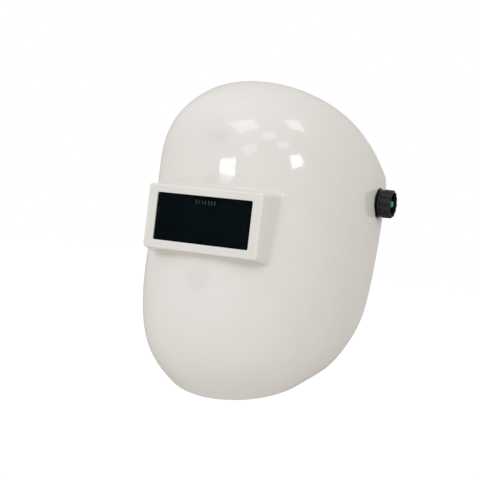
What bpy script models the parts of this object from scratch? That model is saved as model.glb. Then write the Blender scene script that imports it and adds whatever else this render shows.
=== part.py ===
"""Passive welding helmet: moulded shell with a fixed lens box, tension knobs and ratchet headgear.

Units are metres. X points to the wearer's left, -Y to the front, Z up. The origin is the middle of
the hinge line that joins the two ear pivots. The window plane is upright when the shell is down.
"""
import math

import bmesh
import bpy
import numpy as np
from mathutils import Matrix, Vector

MM = 0.001
FIT = 0.3 * MM                      # gap between neighbouring pieces

# Shell skin: nine sections from the crown edge to the chin edge.
# Each section runs from the rim (y, z) at one side over the mid line (y, z) to the other side.
RIM_LINE = np.array([(24, 41.5), (36, 30.5), (24.5, 4), (9.5, -38.5), (0, -86),
                     (-11.5, -126), (-35.5, -155.5), (-56.5, -178), (-78.5, -190.5)]) * MM
MID_LINE = np.array([(-72.5, 109), (-126.5, 103.5), (-174, 81.5), (-193.5, 46.5), (-189, -14),
                     (-200, -82.5), (-196, -150), (-175, -191.5), (-146, -216)]) * MM
HALF_WIDTHS = np.array([95.5, 102, 107.5, 110.5, 110, 107, 100.5, 89, 74.5]) * MM
ROUNDNESS = np.array([2.05, 2.15, 2.3, 2.5, 2.6, 2.6, 2.45, 2.2, 1.95])
SHELL_WALL = 2.4 * MM
SHELL_ROWS = 27
SHELL_COLUMNS = 35

# Lens box, a drafted frame that carries the lens stack
WINDOW_FACE = -208.0 * MM
WINDOW_CENTRE = -42.5 * MM
BOX_SIZE = (118.5 * MM, 61.5 * MM)
BOX_BACK = -162.0 * MM
BOX_SIDE_DRAFT = 0.09
BOX_TOP_DRAFT = 0.04
BOX_BOTTOM_DRAFT = 0.16
BOX_CORNER = 3.0 * MM
BOX_EDGE = 1.6 * MM
OPENING_SIZE = (99.0 * MM, 45.5 * MM)
OPENING_CORNER = 1.5 * MM
LIP = 1.9 * MM
PLATE_SIZE = (107.8 * MM, 50.6 * MM)
POCKET_SIZE = (108.6 * MM, 51.4 * MM)
POCKET_CORNER = 1.0 * MM

# Lens stack, front to back
GASKET = 0.9 * MM
COVER_LENS = 1.2 * MM
FILTER_PLATE = 3.0 * MM
INNER_LENS = 1.2 * MM
RETAINER = 6.0 * MM
RETAINER_OPENING = (97.0 * MM, 41.0 * MM)
RETAINER_TAB = (14.0 * MM, 7.0 * MM)

# Ear pivot stack along X, measured outwards from the middle of the helmet
STUD_HEAD = (95.9 * MM, 97.9 * MM)
BRACKET = (98.2 * MM, 100.4 * MM)
STOP_PLATE = (100.7 * MM, 102.3 * MM)
INNER_WASHER = (102.6 * MM, 103.6 * MM)
SHELL_LAND = (103.9 * MM, 107.6 * MM)
OUTER_WASHER = (107.9 * MM, 108.9 * MM)
KNOB = (109.2 * MM, 124.4 * MM)
STUD_END = 123.8 * MM
STUD_RADIUS = 3.9 * MM
STUD_TIP_RADIUS = 3.6 * MM
PIVOT_BORE = 4.3 * MM
LAND_RADIUS = 17.5 * MM
STOP_PLATE_RADIUS = 17.0 * MM
WASHER_RADIUS = 10.5 * MM
OUTER_WASHER_RADIUS = 16.3 * MM
KNOB_RADIUS = 15.3 * MM
KNOB_LOBES = 12
KNOB_FLUTE = 1.3 * MM
KNOB_RIM = 3.0 * MM
KNOB_CUP_DEPTH = 9.0 * MM
STUD_HEAD_RADIUS = 9.5 * MM
STUD_HEAD_FLUTE = 1.6 * MM
STUD_SHOULDER = 0.6 * MM
STUD_TIP_EDGE = 0.4 * MM
LAND_CHAMFER = 0.5 * MM
SEAT_CLEARANCE = 5.0 * MM

# Tilt stop: a lug on the shell runs in a notch of the stop plate
FLIP_RANGE = math.radians(80)
LUG_RADIUS = 1.8 * MM
LUG_ORBIT = 13.6 * MM
LUG_ANGLE = math.radians(40)        # place of the lug with the shell down
LUG_PLAY = math.radians(9.2)
NOTCH_INNER = 11.3 * MM

# Pins that key the stop plate to the bracket
STOP_PIN_ORBIT = 13.0 * MM
STOP_PIN_ANGLES = (math.radians(115), math.radians(205))
STOP_PIN_RADIUS = 1.4 * MM
STOP_PIN_BORE = 1.7 * MM

# Headband, half of its inner line seen from above, from the forehead to the ratchet
BAND_LINE = np.array([(0, -103), (30, -99), (56, -84), (72, -60), (79, -30), (80, 0),
                      (77, 30), (69, 58), (57, 80), (46, 91), (33.6, 95)]) * MM
BAND_THICKNESS = 2.2 * MM
BAND_TILT = -0.154
BAND_LEVEL = -7.4 * MM
BAND_HALF_HEIGHT = (15.0 * MM, 9.0 * MM)
SWEATBAND_THICKNESS = 4.5 * MM
SWEATBAND_HALF_HEIGHT = 17.0 * MM
SWEATBAND_END = 2.9                 # place on the band line, counted in its points
SWEATBAND_TAPER = (0.55, 0.85, 0.96, 1.0)

# Rivets that hold the brackets on the headband
RIVET_PLACES = (3.82, 6.2)          # places on the band line, counted in its points
RIVET_BORE = 2.4 * MM
RIVET_RADIUS = 2.0 * MM
RIVET_HEAD = 4.4 * MM

# Side brackets
BRACKET_SPAN = (3.5, 6.55)          # ends on the band line, counted in its points
BRACKET_BULGE = 26.5 * MM           # half length of the bulge that carries the pivot
BRACKET_BULGE_CENTRE = 1.0 * MM
BRACKET_RAMP = 10.5 * MM
BRACKET_SWELL = 7.0 * MM
BRACKET_TAPER = (5.0 * MM, 8.6 * MM, 10.2 * MM, 11.0 * MM)

# Crown straps
CROWN_HEIGHT = 84.0 * MM
CROWN_HALF_WIDTH = 9.5 * MM
CROWN_THICKNESS = 2.0 * MM
CROWN_LAP = 24.0 * MM
CROWN_Y = -3.0 * MM
CROWN_ROOT = -6.0 * MM
CROWN_ARCH = 2.3
CROWN_TAPER = (0.6, 0.93, 1.0)
CROWN_TAIL = 6.0 * MM
CROWN_HOLES = {"left": (0,), "right": (0, 1, 2, 3, 4)}
CROWN_HOLE_PITCH = 8.0 * MM
CROWN_HOLE_RADIUS = 1.9 * MM
PEG_RADIUS = 1.5 * MM
PEG_HEAD_RADIUS = 3.6 * MM

# Ratchet at the nape
RATCHET_LEVEL = -22.0 * MM
PINION_TEETH = 10
MODULE = 1.0 * MM
PRESSURE_ANGLE = math.radians(30)
BACKLASH = 0.35 * MM
ADDENDUM = 0.85 * MODULE
DEDENDUM = 1.15 * MODULE
RACK_Y = (95.0 * MM, 98.0 * MM)
RACK_END = 32.8 * MM
RACK_TIP = -17.0 * MM
RACK_TOOTHED = 23.0 * MM
RACK_BACK = 9.8 * MM
TOOTH_OVERHANG = 0.5 * MM           # pinion teeth past each face of the racks
HOUSING_HALF = (37.0 * MM, 14.0 * MM)
HOUSING_Y = (92.3 * MM, 109.5 * MM)
HOUSING_WALL = 2.2 * MM
HOUSING_CORNER = 5.0 * MM
SCREW_PLACE = (29.5 * MM, 8.6 * MM)
SCREW_BOSS = 3.4 * MM
SCREW_BORE = 1.7 * MM
SCREW_SHANK = 1.4 * MM
SCREW_HEAD = 2.7 * MM
SCREW_SINK = (3.0 * MM, 1.3 * MM)
BACK_PLATE_Y = (89.4 * MM, 92.0 * MM)
NAPE_PAD_Y = (83.3 * MM, 89.1 * MM)
RATCHET_KNOB_Y = (110.0 * MM, 126.0 * MM)
RATCHET_KNOB_RADIUS = 19.0 * MM
RATCHET_KNOB_LOBES = 16
RATCHET_KNOB_FLUTE = 1.4 * MM
RATCHET_KNOB_RECESS = 4.6 * MM
SHAFT_RADIUS = 3.0 * MM
SHAFT_PILOT = 1.9 * MM
PILOT_BORE = 2.2 * MM
DETENT_RADIUS = 8.0 * MM
DETENT_TEETH = 20
DETENT_DEPTH = 0.8 * MM
DETENT_Y = (100.0 * MM, 103.0 * MM)
SPRING_HALF_LENGTH = 17.0 * MM
SPRING_REST = 2.4 * MM
SPRING_DIMPLE = (2.0 * MM, 2.2 * MM)
SPRING_THICKNESS = 0.6 * MM
SPRING_HALF_WIDTH = 1.3 * MM
PAD_INSET = (2.0 * MM, 1.0 * MM)
PAD_EDGE = 1.2 * MM

BORE_SIDES = 24
PIN_SIDES = 16
CUT = 10.0 * MM                     # how far a cutting tool runs past what it cuts


def clear_scene():
    for item in list(bpy.data.objects):
        bpy.data.objects.remove(item, do_unlink=True)


def make_material(name, colour, roughness, metallic=0.0, transmission=0.0):
    material = bpy.data.materials.new(name)
    material.use_nodes = True
    shader = material.node_tree.nodes["Principled BSDF"]
    shader.inputs["Base Color"].default_value = (*colour, 1.0)
    shader.inputs["Roughness"].default_value = roughness
    shader.inputs["Metallic"].default_value = metallic
    shader.inputs["Transmission Weight"].default_value = transmission
    return material


def add_object(name, bm, material, origin=(0.0, 0.0, 0.0), smooth_angle=35.0):
    """Make an object from a mesh in world coordinates, with its origin at the given point."""
    bmesh.ops.recalc_face_normals(bm, faces=bm.faces)
    bmesh.ops.translate(bm, verts=bm.verts, vec=-Vector(origin))
    mesh = bpy.data.meshes.new(name)
    bm.to_mesh(mesh)
    bm.free()
    mesh.materials.append(material)
    mesh.shade_smooth()
    mesh.set_sharp_from_angle(angle=math.radians(smooth_angle))
    item = bpy.data.objects.new(name, mesh)
    item.location = origin
    bpy.context.scene.collection.objects.link(item)
    return item


def combine(target, tool, operation):
    """Apply an exact Boolean with a tool object, then remove the tool."""
    modifier = target.modifiers.new("combine", "BOOLEAN")
    modifier.operation = operation
    modifier.solver = "EXACT"
    modifier.object = tool
    bpy.context.view_layer.update()
    evaluated = target.evaluated_get(bpy.context.evaluated_depsgraph_get())
    mesh = bpy.data.meshes.new_from_object(evaluated)
    target.modifiers.remove(modifier)
    target.data = mesh
    mesh.name = target.name
    bpy.data.objects.remove(tool, do_unlink=True)


def spline(values, samples):
    """Natural cubic spline through values at 0, 1, 2, ... read at the sample positions."""
    values = np.asarray(values, float).reshape(len(values), -1)
    count = len(values)
    matrix = np.eye(count)
    right = np.zeros_like(values)
    for i in range(1, count - 1):
        matrix[i, i - 1:i + 2] = (1.0, 4.0, 1.0)
        right[i] = 6.0 * (values[i - 1] - 2.0 * values[i] + values[i + 1])
    bend = np.linalg.solve(matrix, right)
    low = np.clip(np.floor(samples).astype(int), 0, count - 2)
    b = (samples - low)[:, None]
    a = 1.0 - b
    curve = a * values[low] + b * values[low + 1]
    curve += ((a ** 3 - a) * bend[low] + (b ** 3 - b) * bend[low + 1]) / 6.0
    return curve.squeeze()


def even_line(points, count):
    """Read a polyline at evenly spaced distances."""
    steps = np.linalg.norm(np.diff(points, axis=0), axis=1)
    distance = np.concatenate([[0.0], np.cumsum(steps)])
    wanted = np.linspace(0.0, distance[-1], count)
    return np.stack([np.interp(wanted, distance, points[:, k]) for k in range(points.shape[1])], axis=1)


def ring_solid(rings, closed=False):
    """Join rings of equal point count with quads. A closed profile makes a hollow ring."""
    bm = bmesh.new()
    made = [[bm.verts.new(point) for point in ring] for ring in rings]
    count = len(made[0])
    pairs = list(zip(made, made[1:]))
    if closed:
        pairs.append((made[-1], made[0]))
    else:
        bm.faces.new(made[0])
        bm.faces.new(made[-1])
    for first, second in pairs:
        for k in range(count):
            after = (k + 1) % count
            bm.faces.new((first[k], first[after], second[after], second[k]))
    return bm


def circle_x(x, radius, segments, centre=(0.0, 0.0)):
    """Ring about a line along X. The radius is a number or a function of the angle."""
    points = []
    for k in range(segments):
        angle = 2.0 * math.pi * k / segments
        reach = radius(angle) if callable(radius) else radius
        points.append((x, centre[0] + reach * math.cos(angle), centre[1] + reach * math.sin(angle)))
    return points


def circle_y(y, radius, segments, centre=(0.0, RATCHET_LEVEL)):
    """Ring about a line along Y. The radius is a number or a function of the angle."""
    points = []
    for k in range(segments):
        angle = 2.0 * math.pi * k / segments
        reach = radius(angle) if callable(radius) else radius
        points.append((centre[0] + reach * math.cos(angle), y, centre[1] + reach * math.sin(angle)))
    return points


def round_rectangle(width, height, corner, y, centre_z, steps=3):
    """Rounded rectangle in a plane across Y."""
    points = []
    for k, (sx, sz) in enumerate(((1, 1), (-1, 1), (-1, -1), (1, -1))):
        for step in range(steps + 1):
            angle = math.radians(90.0 * (k + step / steps))
            x = sx * (width / 2 - corner) + corner * math.cos(angle)
            z = centre_z + sz * (height / 2 - corner) + corner * math.sin(angle)
            points.append((x, y, z))
    return points


def block(low, high):
    bm = bmesh.new()
    bmesh.ops.create_cube(bm, size=1.0)
    size = Vector(high) - Vector(low)
    middle = (Vector(high) + Vector(low)) / 2
    bmesh.ops.transform(bm, verts=bm.verts, matrix=Matrix.Translation(middle) @ Matrix.Diagonal((*size, 1.0)))
    return bm


def tool_object(bm):
    return add_object("tool", bm, MATERIALS["shell"])


def strip_solid(line, outward, across, half_widths, thickness):
    """Flat strap along a line: its inner face lies on the line and it grows outwards."""
    rings = []
    for point, out, side, half in zip(line, outward, across, half_widths):
        low = point - side * half
        high = point + side * half
        rings.append((low, high, high + out * thickness, low + out * thickness))
    return ring_solid(rings)


def side_sign(side):
    return 1.0 if side == "left" else -1.0


def mirror_x(bm, side):
    if side == "right":
        bmesh.ops.scale(bm, verts=bm.verts, vec=(-1.0, 1.0, 1.0))
    return bm


# ---------------------------------------------------------------- shell

def shell_skin():
    """Outer skin as a grid of points, rows from crown to chin and columns from side to side."""
    samples = np.linspace(0.0, len(RIM_LINE) - 1.0, SHELL_ROWS)
    rim = spline(RIM_LINE, samples)
    middle = spline(MID_LINE, samples)
    half = spline(HALF_WIDTHS, samples)
    power = 2.0 / spline(ROUNDNESS, samples)
    angles = np.linspace(-math.pi / 2, math.pi / 2, 361)
    grid = np.empty((SHELL_ROWS, SHELL_COLUMNS, 3))
    for i in range(SHELL_ROWS):
        across = np.sign(np.sin(angles)) * np.abs(np.sin(angles)) ** power[i]
        forward = np.abs(np.cos(angles)) ** power[i]
        section = np.stack([half[i] * across,
                            rim[i, 0] + (middle[i, 0] - rim[i, 0]) * forward,
                            rim[i, 1] + (middle[i, 1] - rim[i, 1]) * forward], axis=1)
        grid[i] = even_line(section, SHELL_COLUMNS)
    return grid


def shell_sheet():
    """The skin thickened inwards by the wall."""
    outer = shell_skin()
    along = np.gradient(outer, axis=0)
    across = np.gradient(outer, axis=1)
    normal = np.cross(along, across)
    normal /= np.linalg.norm(normal, axis=2, keepdims=True)
    inner = outer - normal * SHELL_WALL
    bm = bmesh.new()
    skins = [[[bm.verts.new(point) for point in row] for row in skin] for skin in (outer, inner)]
    for skin in skins:
        for i in range(SHELL_ROWS - 1):
            for j in range(SHELL_COLUMNS - 1):
                bm.faces.new((skin[i][j], skin[i][j + 1], skin[i + 1][j + 1], skin[i + 1][j]))
    border = [(0, j) for j in range(SHELL_COLUMNS)]
    border += [(i, SHELL_COLUMNS - 1) for i in range(1, SHELL_ROWS)]
    border += [(SHELL_ROWS - 1, j) for j in range(SHELL_COLUMNS - 2, -1, -1)]
    border += [(i, 0) for i in range(SHELL_ROWS - 2, 0, -1)]
    for (i, j), (k, m) in zip(border, border[1:] + border[:1]):
        bm.faces.new((skins[0][i][j], skins[0][k][m], skins[1][k][m], skins[1][i][j]))
    return bm


def box_ring(depth, inset=0.0):
    """Outline of the lens box at a depth behind its front face."""
    top = BOX_SIZE[1] / 2 + BOX_TOP_DRAFT * depth - inset
    bottom = BOX_SIZE[1] / 2 + BOX_BOTTOM_DRAFT * depth - inset
    width = BOX_SIZE[0] + 2 * BOX_SIDE_DRAFT * depth - 2 * inset
    centre = WINDOW_CENTRE + (top - bottom) / 2
    return round_rectangle(width, top + bottom, BOX_CORNER - inset * 0.5, WINDOW_FACE + depth, centre)


def build_shell():
    shell = add_object("shell", shell_sheet(), MATERIALS["shell"])
    edge = BOX_EDGE
    box = ring_solid([box_ring(0.0, edge), box_ring(0.3 * edge, 0.3 * edge), box_ring(edge),
                      box_ring(BOX_BACK - WINDOW_FACE)])
    combine(shell, tool_object(box), "UNION")
    for side in ("left", "right"):
        land = ring_solid([circle_x(SHELL_LAND[0], LAND_RADIUS - 2 * LAND_CHAMFER, 32),
                           circle_x(SHELL_LAND[0] + 2 * LAND_CHAMFER, LAND_RADIUS, 32),
                           circle_x(SHELL_LAND[1] - LAND_CHAMFER, LAND_RADIUS, 32),
                           circle_x(SHELL_LAND[1], LAND_RADIUS - LAND_CHAMFER, 32)])
        combine(shell, tool_object(mirror_x(land, side)), "UNION")
        seat = ring_solid([circle_x(SHELL_LAND[1], LAND_RADIUS - LAND_CHAMFER, 32),
                           circle_x(SHELL_LAND[1] + SEAT_CLEARANCE, LAND_RADIUS + 1.5 * MM, 32)])
        combine(shell, tool_object(mirror_x(seat, side)), "DIFFERENCE")
        lug_centre = (LUG_ORBIT * math.cos(LUG_ANGLE), LUG_ORBIT * math.sin(LUG_ANGLE))
        lug = ring_solid([circle_x(STOP_PLATE[0] + FIT, LUG_RADIUS, 12, lug_centre),
                          circle_x(SHELL_LAND[0] + 1.0 * MM, LUG_RADIUS, 12, lug_centre)])
        combine(shell, tool_object(mirror_x(lug, side)), "UNION")
    bore = ring_solid([circle_x(-KNOB[1] - CUT, PIVOT_BORE, BORE_SIDES),
                       circle_x(KNOB[1] + CUT, PIVOT_BORE, BORE_SIDES)])
    combine(shell, tool_object(bore), "DIFFERENCE")
    pocket_front = WINDOW_FACE + LIP
    pocket = ring_solid([round_rectangle(*POCKET_SIZE, POCKET_CORNER, y, WINDOW_CENTRE)
                         for y in (pocket_front, BOX_BACK + CUT)])
    combine(shell, tool_object(pocket), "DIFFERENCE")
    opening = ring_solid([round_rectangle(*OPENING_SIZE, OPENING_CORNER, y, WINDOW_CENTRE)
                          for y in (WINDOW_FACE - CUT, pocket_front + 0.5 * CUT)])
    combine(shell, tool_object(opening), "DIFFERENCE")
    shell.data.shade_smooth()
    shell.data.set_sharp_from_angle(angle=math.radians(30))


# ---------------------------------------------------------------- lens stack

def plate(name, front, thickness, material):
    faces = (front, front + thickness)
    rings = [round_rectangle(*PLATE_SIZE, POCKET_CORNER, y, WINDOW_CENTRE) for y in faces]
    add_object(name, ring_solid(rings), MATERIALS[material], (0.0, front, WINDOW_CENTRE))


def frame_plate(name, front, thickness, opening, material):
    back = front + thickness
    rings = [round_rectangle(*PLATE_SIZE, POCKET_CORNER, front, WINDOW_CENTRE),
             round_rectangle(*PLATE_SIZE, POCKET_CORNER, back, WINDOW_CENTRE),
             round_rectangle(*opening, POCKET_CORNER, back, WINDOW_CENTRE),
             round_rectangle(*opening, POCKET_CORNER, front, WINDOW_CENTRE)]
    return add_object(name, ring_solid(rings, closed=True), MATERIALS[material], (0.0, front, WINDOW_CENTRE))


def build_lens_stack():
    front = WINDOW_FACE + LIP + FIT
    plate("cover_lens", front, COVER_LENS, "clear")
    front += COVER_LENS + FIT
    plate("filter_plate", front, FILTER_PLATE, "filter")
    front += FILTER_PLATE + FIT
    frame_plate("lens_gasket", front, GASKET, OPENING_SIZE, "rubber")
    front += GASKET + FIT
    plate("inner_cover_lens", front, INNER_LENS, "clear")
    front += INNER_LENS + FIT
    retainer = frame_plate("lens_retainer", front, RETAINER, RETAINER_OPENING, "black_plastic")
    back = front + RETAINER
    for sign in (1.0, -1.0):
        inner = RETAINER_OPENING[0] / 2 + 1.0 * MM
        outer = PLATE_SIZE[0] / 2 - 1.0 * MM
        low = (min(sign * inner, sign * outer), back - 1.0 * MM, WINDOW_CENTRE - RETAINER_TAB[0] / 2)
        high = (max(sign * inner, sign * outer), back + RETAINER_TAB[1], WINDOW_CENTRE + RETAINER_TAB[0] / 2)
        combine(retainer, tool_object(block(low, high)), "UNION")


# ---------------------------------------------------------------- ear pivots

def washer(name, span, radius, side, material):
    rings = [circle_x(span[0], PIVOT_BORE, BORE_SIDES), circle_x(span[1], PIVOT_BORE, BORE_SIDES),
             circle_x(span[1], radius, BORE_SIDES), circle_x(span[0], radius, BORE_SIDES)]
    origin = (side_sign(side) * span[0], 0.0, 0.0)
    return add_object(name, mirror_x(ring_solid(rings, closed=True), side), MATERIALS[material], origin)


def lobed(radius, depth, lobes):
    """Radius of a knob with rounded lobes and narrower flutes between them."""
    def reach(angle):
        return radius - depth * abs(math.sin(lobes * angle / 2)) ** 3
    return reach


def build_tension_knob(side):
    segments = KNOB_LOBES * 4
    base, front = KNOB
    floor = front - KNOB_CUP_DEPTH
    bevel = KNOB_RADIUS - 1.6 * MM
    rings = [circle_x(base, PIVOT_BORE, segments),
             circle_x(base, KNOB_RADIUS - 2.4 * MM, segments),
             circle_x(base + 0.9 * MM, lobed(KNOB_RADIUS, KNOB_FLUTE, KNOB_LOBES), segments),
             circle_x(front - 1.6 * MM, lobed(KNOB_RADIUS - 0.3 * MM, KNOB_FLUTE, KNOB_LOBES), segments),
             circle_x(front, lobed(bevel, KNOB_FLUTE * 0.6, KNOB_LOBES), segments),
             circle_x(front, KNOB_RADIUS - KNOB_RIM, segments),
             circle_x(floor, KNOB_RADIUS - KNOB_RIM - 0.6 * MM, segments),
             circle_x(floor, PIVOT_BORE, segments)]
    origin = (side_sign(side) * base, 0.0, 0.0)
    add_object("tension_knob_" + side, mirror_x(ring_solid(rings, closed=True), side),
               MATERIALS["knob"], origin)


def build_pivot_stud(side):
    head = lobed(STUD_HEAD_RADIUS, STUD_HEAD_FLUTE, 4)
    shoulder = KNOB[1] - KNOB_CUP_DEPTH - STUD_SHOULDER
    rings = [circle_x(STUD_HEAD[0], head, BORE_SIDES),
             circle_x(STUD_HEAD[1], head, BORE_SIDES),
             circle_x(STUD_HEAD[1], STUD_RADIUS, BORE_SIDES),
             circle_x(shoulder, STUD_RADIUS, BORE_SIDES),
             circle_x(shoulder, STUD_TIP_RADIUS, BORE_SIDES),
             circle_x(STUD_END - STUD_TIP_EDGE, STUD_TIP_RADIUS, BORE_SIDES),
             circle_x(STUD_END, STUD_TIP_RADIUS - STUD_TIP_EDGE, BORE_SIDES)]
    origin = (side_sign(side) * STUD_HEAD[0], 0.0, 0.0)
    add_object("pivot_stud_" + side, mirror_x(ring_solid(rings), side), MATERIALS["green_nylon"], origin)


def stop_pin_centres():
    return [(STOP_PIN_ORBIT * math.cos(a), STOP_PIN_ORBIT * math.sin(a)) for a in STOP_PIN_ANGLES]


def build_stop_plate(side):
    name = "stop_plate_" + side
    item = washer(name, STOP_PLATE, STOP_PLATE_RADIUS, side, "black_plastic")
    start = LUG_ANGLE + LUG_PLAY
    end = LUG_ANGLE - FLIP_RANGE - LUG_PLAY
    low, high = STOP_PLATE[0] - 1.0 * MM, STOP_PLATE[1] + 1.0 * MM
    outer = STOP_PLATE_RADIUS + 2.0 * MM
    outline = [(outer * math.cos(a), outer * math.sin(a)) for a in np.linspace(start, end, 9)]
    outline += [(NOTCH_INNER * math.cos(a), NOTCH_INNER * math.sin(a)) for a in np.linspace(end, start, 9)]
    notch = ring_solid([[(x, y, z) for y, z in outline] for x in (low, high)])
    combine(item, tool_object(mirror_x(notch, side)), "DIFFERENCE")
    for centre in stop_pin_centres():
        pin = ring_solid([circle_x(BRACKET[0] + 0.2 * MM, STOP_PIN_RADIUS, 12, centre),
                          circle_x(STOP_PLATE[0] + 0.8 * MM, STOP_PIN_RADIUS, 12, centre)])
        combine(item, tool_object(mirror_x(pin, side)), "UNION")


# ---------------------------------------------------------------- headgear

def band_half_line(count, start=0.0, end=len(BAND_LINE) - 1.0):
    return even_line(spline(BAND_LINE, np.linspace(start, end, 161)), count)


def band_frames(flat):
    """World points, outward and upward directions along a line seen from above."""
    points = np.column_stack([flat, BAND_LEVEL + BAND_TILT * flat[:, 1]])
    along = np.gradient(flat, axis=0)
    along /= np.linalg.norm(along, axis=1, keepdims=True)
    outward = np.column_stack([-along[:, 1], along[:, 0], np.zeros(len(flat))])
    outward *= np.sign(np.sum(outward[:, :2] * (flat + np.array([0.0, 1e-6])), axis=1))[:, None]
    return points, outward


def whole_line(half):
    """Mirror a half line that starts on the middle plane."""
    return np.concatenate([half[:0:-1] * np.array([-1.0, 1.0]), half])


def band_half_heights(flat):
    """Half heights of the band, tall at the forehead and low towards the nape."""
    share = np.clip((flat[:, 1] + 90.0 * MM) / (160.0 * MM), 0.0, 1.0)
    return BAND_HALF_HEIGHT[0] + (BAND_HALF_HEIGHT[1] - BAND_HALF_HEIGHT[0]) * share ** 2 * (3 - 2 * share)


def build_headband():
    flat = whole_line(band_half_line(26))
    points, outward = band_frames(flat)
    up = np.tile((0.0, 0.0, 1.0), (len(flat), 1))
    bm = strip_solid(points, outward, up, band_half_heights(flat), BAND_THICKNESS)
    band = add_object("headband", bm, MATERIALS["strap_plastic"])
    for sign in (1.0, -1.0):
        for place in RIVET_PLACES:
            combine(band, tool_object(rivet_bore(place, sign)), "DIFFERENCE")


def rivet_frame(place, sign):
    """Point on the band's inner face and the band's outward direction, as the rivet's axis."""
    near = spline(BAND_LINE, np.array([place - 0.05, place, place + 0.05]))
    points, outward = band_frames(near)
    mirror = np.array([sign, 1.0, 1.0])
    return Vector(points[1] * mirror), Vector(outward[1] * mirror)


def turned_along(profile, segments, point, direction):
    """Turn (radius, height) pairs about a line through a point."""
    turn = Vector((0.0, 0.0, 1.0)).rotation_difference(direction).to_matrix()
    rings = []
    for radius, height in profile:
        ring = []
        for k in range(segments):
            angle = 2.0 * math.pi * k / segments
            ring.append(point + turn @ Vector((radius * math.cos(angle), radius * math.sin(angle), height)))
        rings.append(ring)
    return ring_solid(rings)


def rivet_bore(place, sign):
    point, direction = rivet_frame(place, sign)
    return turned_along([(RIVET_BORE, -CUT), (RIVET_BORE, 12.0 * MM)], PIN_SIDES, point, direction)


def build_rivet(name, place, sign):
    point, direction = rivet_frame(place, sign)
    outer = 2 * BAND_THICKNESS + 2 * FIT + 0.3 * MM
    profile = [(RIVET_HEAD - 1.0 * MM, -1.3 * MM), (RIVET_HEAD, -0.7 * MM), (RIVET_HEAD, -FIT),
               (RIVET_RADIUS, -FIT), (RIVET_RADIUS, outer), (RIVET_HEAD, outer),
               (RIVET_HEAD, outer + 0.6 * MM), (RIVET_HEAD - 1.4 * MM, outer + 1.4 * MM)]
    add_object(name, turned_along(profile, 16, point, direction), MATERIALS["green_nylon"], point)


def build_bracket(side):
    """Strap whose feet lie on the headband and whose middle bulges out to carry the pivot."""
    sign = side_sign(side)
    points, outward = band_frames(band_half_line(25, *BRACKET_SPAN))
    from_centre = np.abs(points[:, 1] - BRACKET_BULGE_CENTRE)
    share = np.clip((BRACKET_BULGE - from_centre) / BRACKET_RAMP, 0.0, 1.0)
    lift = share ** 2 * (3 - 2 * share)
    line = points + outward * (BAND_THICKNESS + FIT)
    line[:, 0] += lift * (BRACKET[0] - line[:, 0])
    line[:, 2] = line[:, 2] * (1 - lift)
    along = np.gradient(line, axis=0)
    out = np.column_stack([along[:, 1], -along[:, 0], np.zeros(len(line))])
    out /= np.linalg.norm(out, axis=1, keepdims=True)
    ends = np.minimum(np.arange(len(line)), np.arange(len(line))[::-1])
    half = np.interp(ends, range(len(BRACKET_TAPER)), BRACKET_TAPER) + lift * BRACKET_SWELL
    up = np.tile((0.0, 0.0, 1.0), (len(line), 1))
    bm = strip_solid(line, out, up, half, BRACKET[1] - BRACKET[0])
    item = add_object("pivot_bracket_" + side, mirror_x(bm, side), MATERIALS["black_plastic"],
                      (sign * BRACKET[0], 0.0, 0.0))
    bores = [((0.0, 0.0), PIVOT_BORE, BORE_SIDES)]
    bores += [(centre, STOP_PIN_BORE, 12) for centre in stop_pin_centres()]
    for centre, radius, sides in bores:
        bore = ring_solid([circle_x(x, radius, sides, centre) for x in (BRACKET[0] - CUT, BRACKET[1] + CUT)])
        combine(item, tool_object(mirror_x(bore, side)), "DIFFERENCE")
    for place in RIVET_PLACES:
        combine(item, tool_object(rivet_bore(place, sign)), "DIFFERENCE")


def build_sweatband():
    flat = whole_line(band_half_line(13, 0.0, SWEATBAND_END))
    points, outward = band_frames(flat)
    line = points - outward * (SWEATBAND_THICKNESS + FIT)
    ends = np.minimum(np.arange(len(line)), np.arange(len(line))[::-1])
    half = np.interp(ends, range(len(SWEATBAND_TAPER)), SWEATBAND_TAPER) * SWEATBAND_HALF_HEIGHT
    up = np.tile((0.0, 0.0, 1.0), (len(line), 1))
    add_object("sweatband", strip_solid(line, outward, up, half, SWEATBAND_THICKNESS), MATERIALS["foam"])


def crown_line(radius_x, height, count, end_x):
    """Arch from beside the head up over the crown, to end_x past the middle."""
    reach = np.linspace(0.0, math.pi, 181)
    power = 2.0 / CROWN_ARCH
    x = np.sign(np.cos(reach)) * np.abs(np.cos(reach)) ** power * radius_x
    z = np.abs(np.sin(reach)) ** power * (height - CROWN_ROOT) + CROWN_ROOT
    keep = x > end_x
    flat = np.column_stack([x[keep], z[keep]])
    flat = np.vstack([(radius_x, CROWN_ROOT - CROWN_TAIL), flat, (end_x, np.interp(-end_x, -x, z))])
    return even_line(flat, count)


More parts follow.
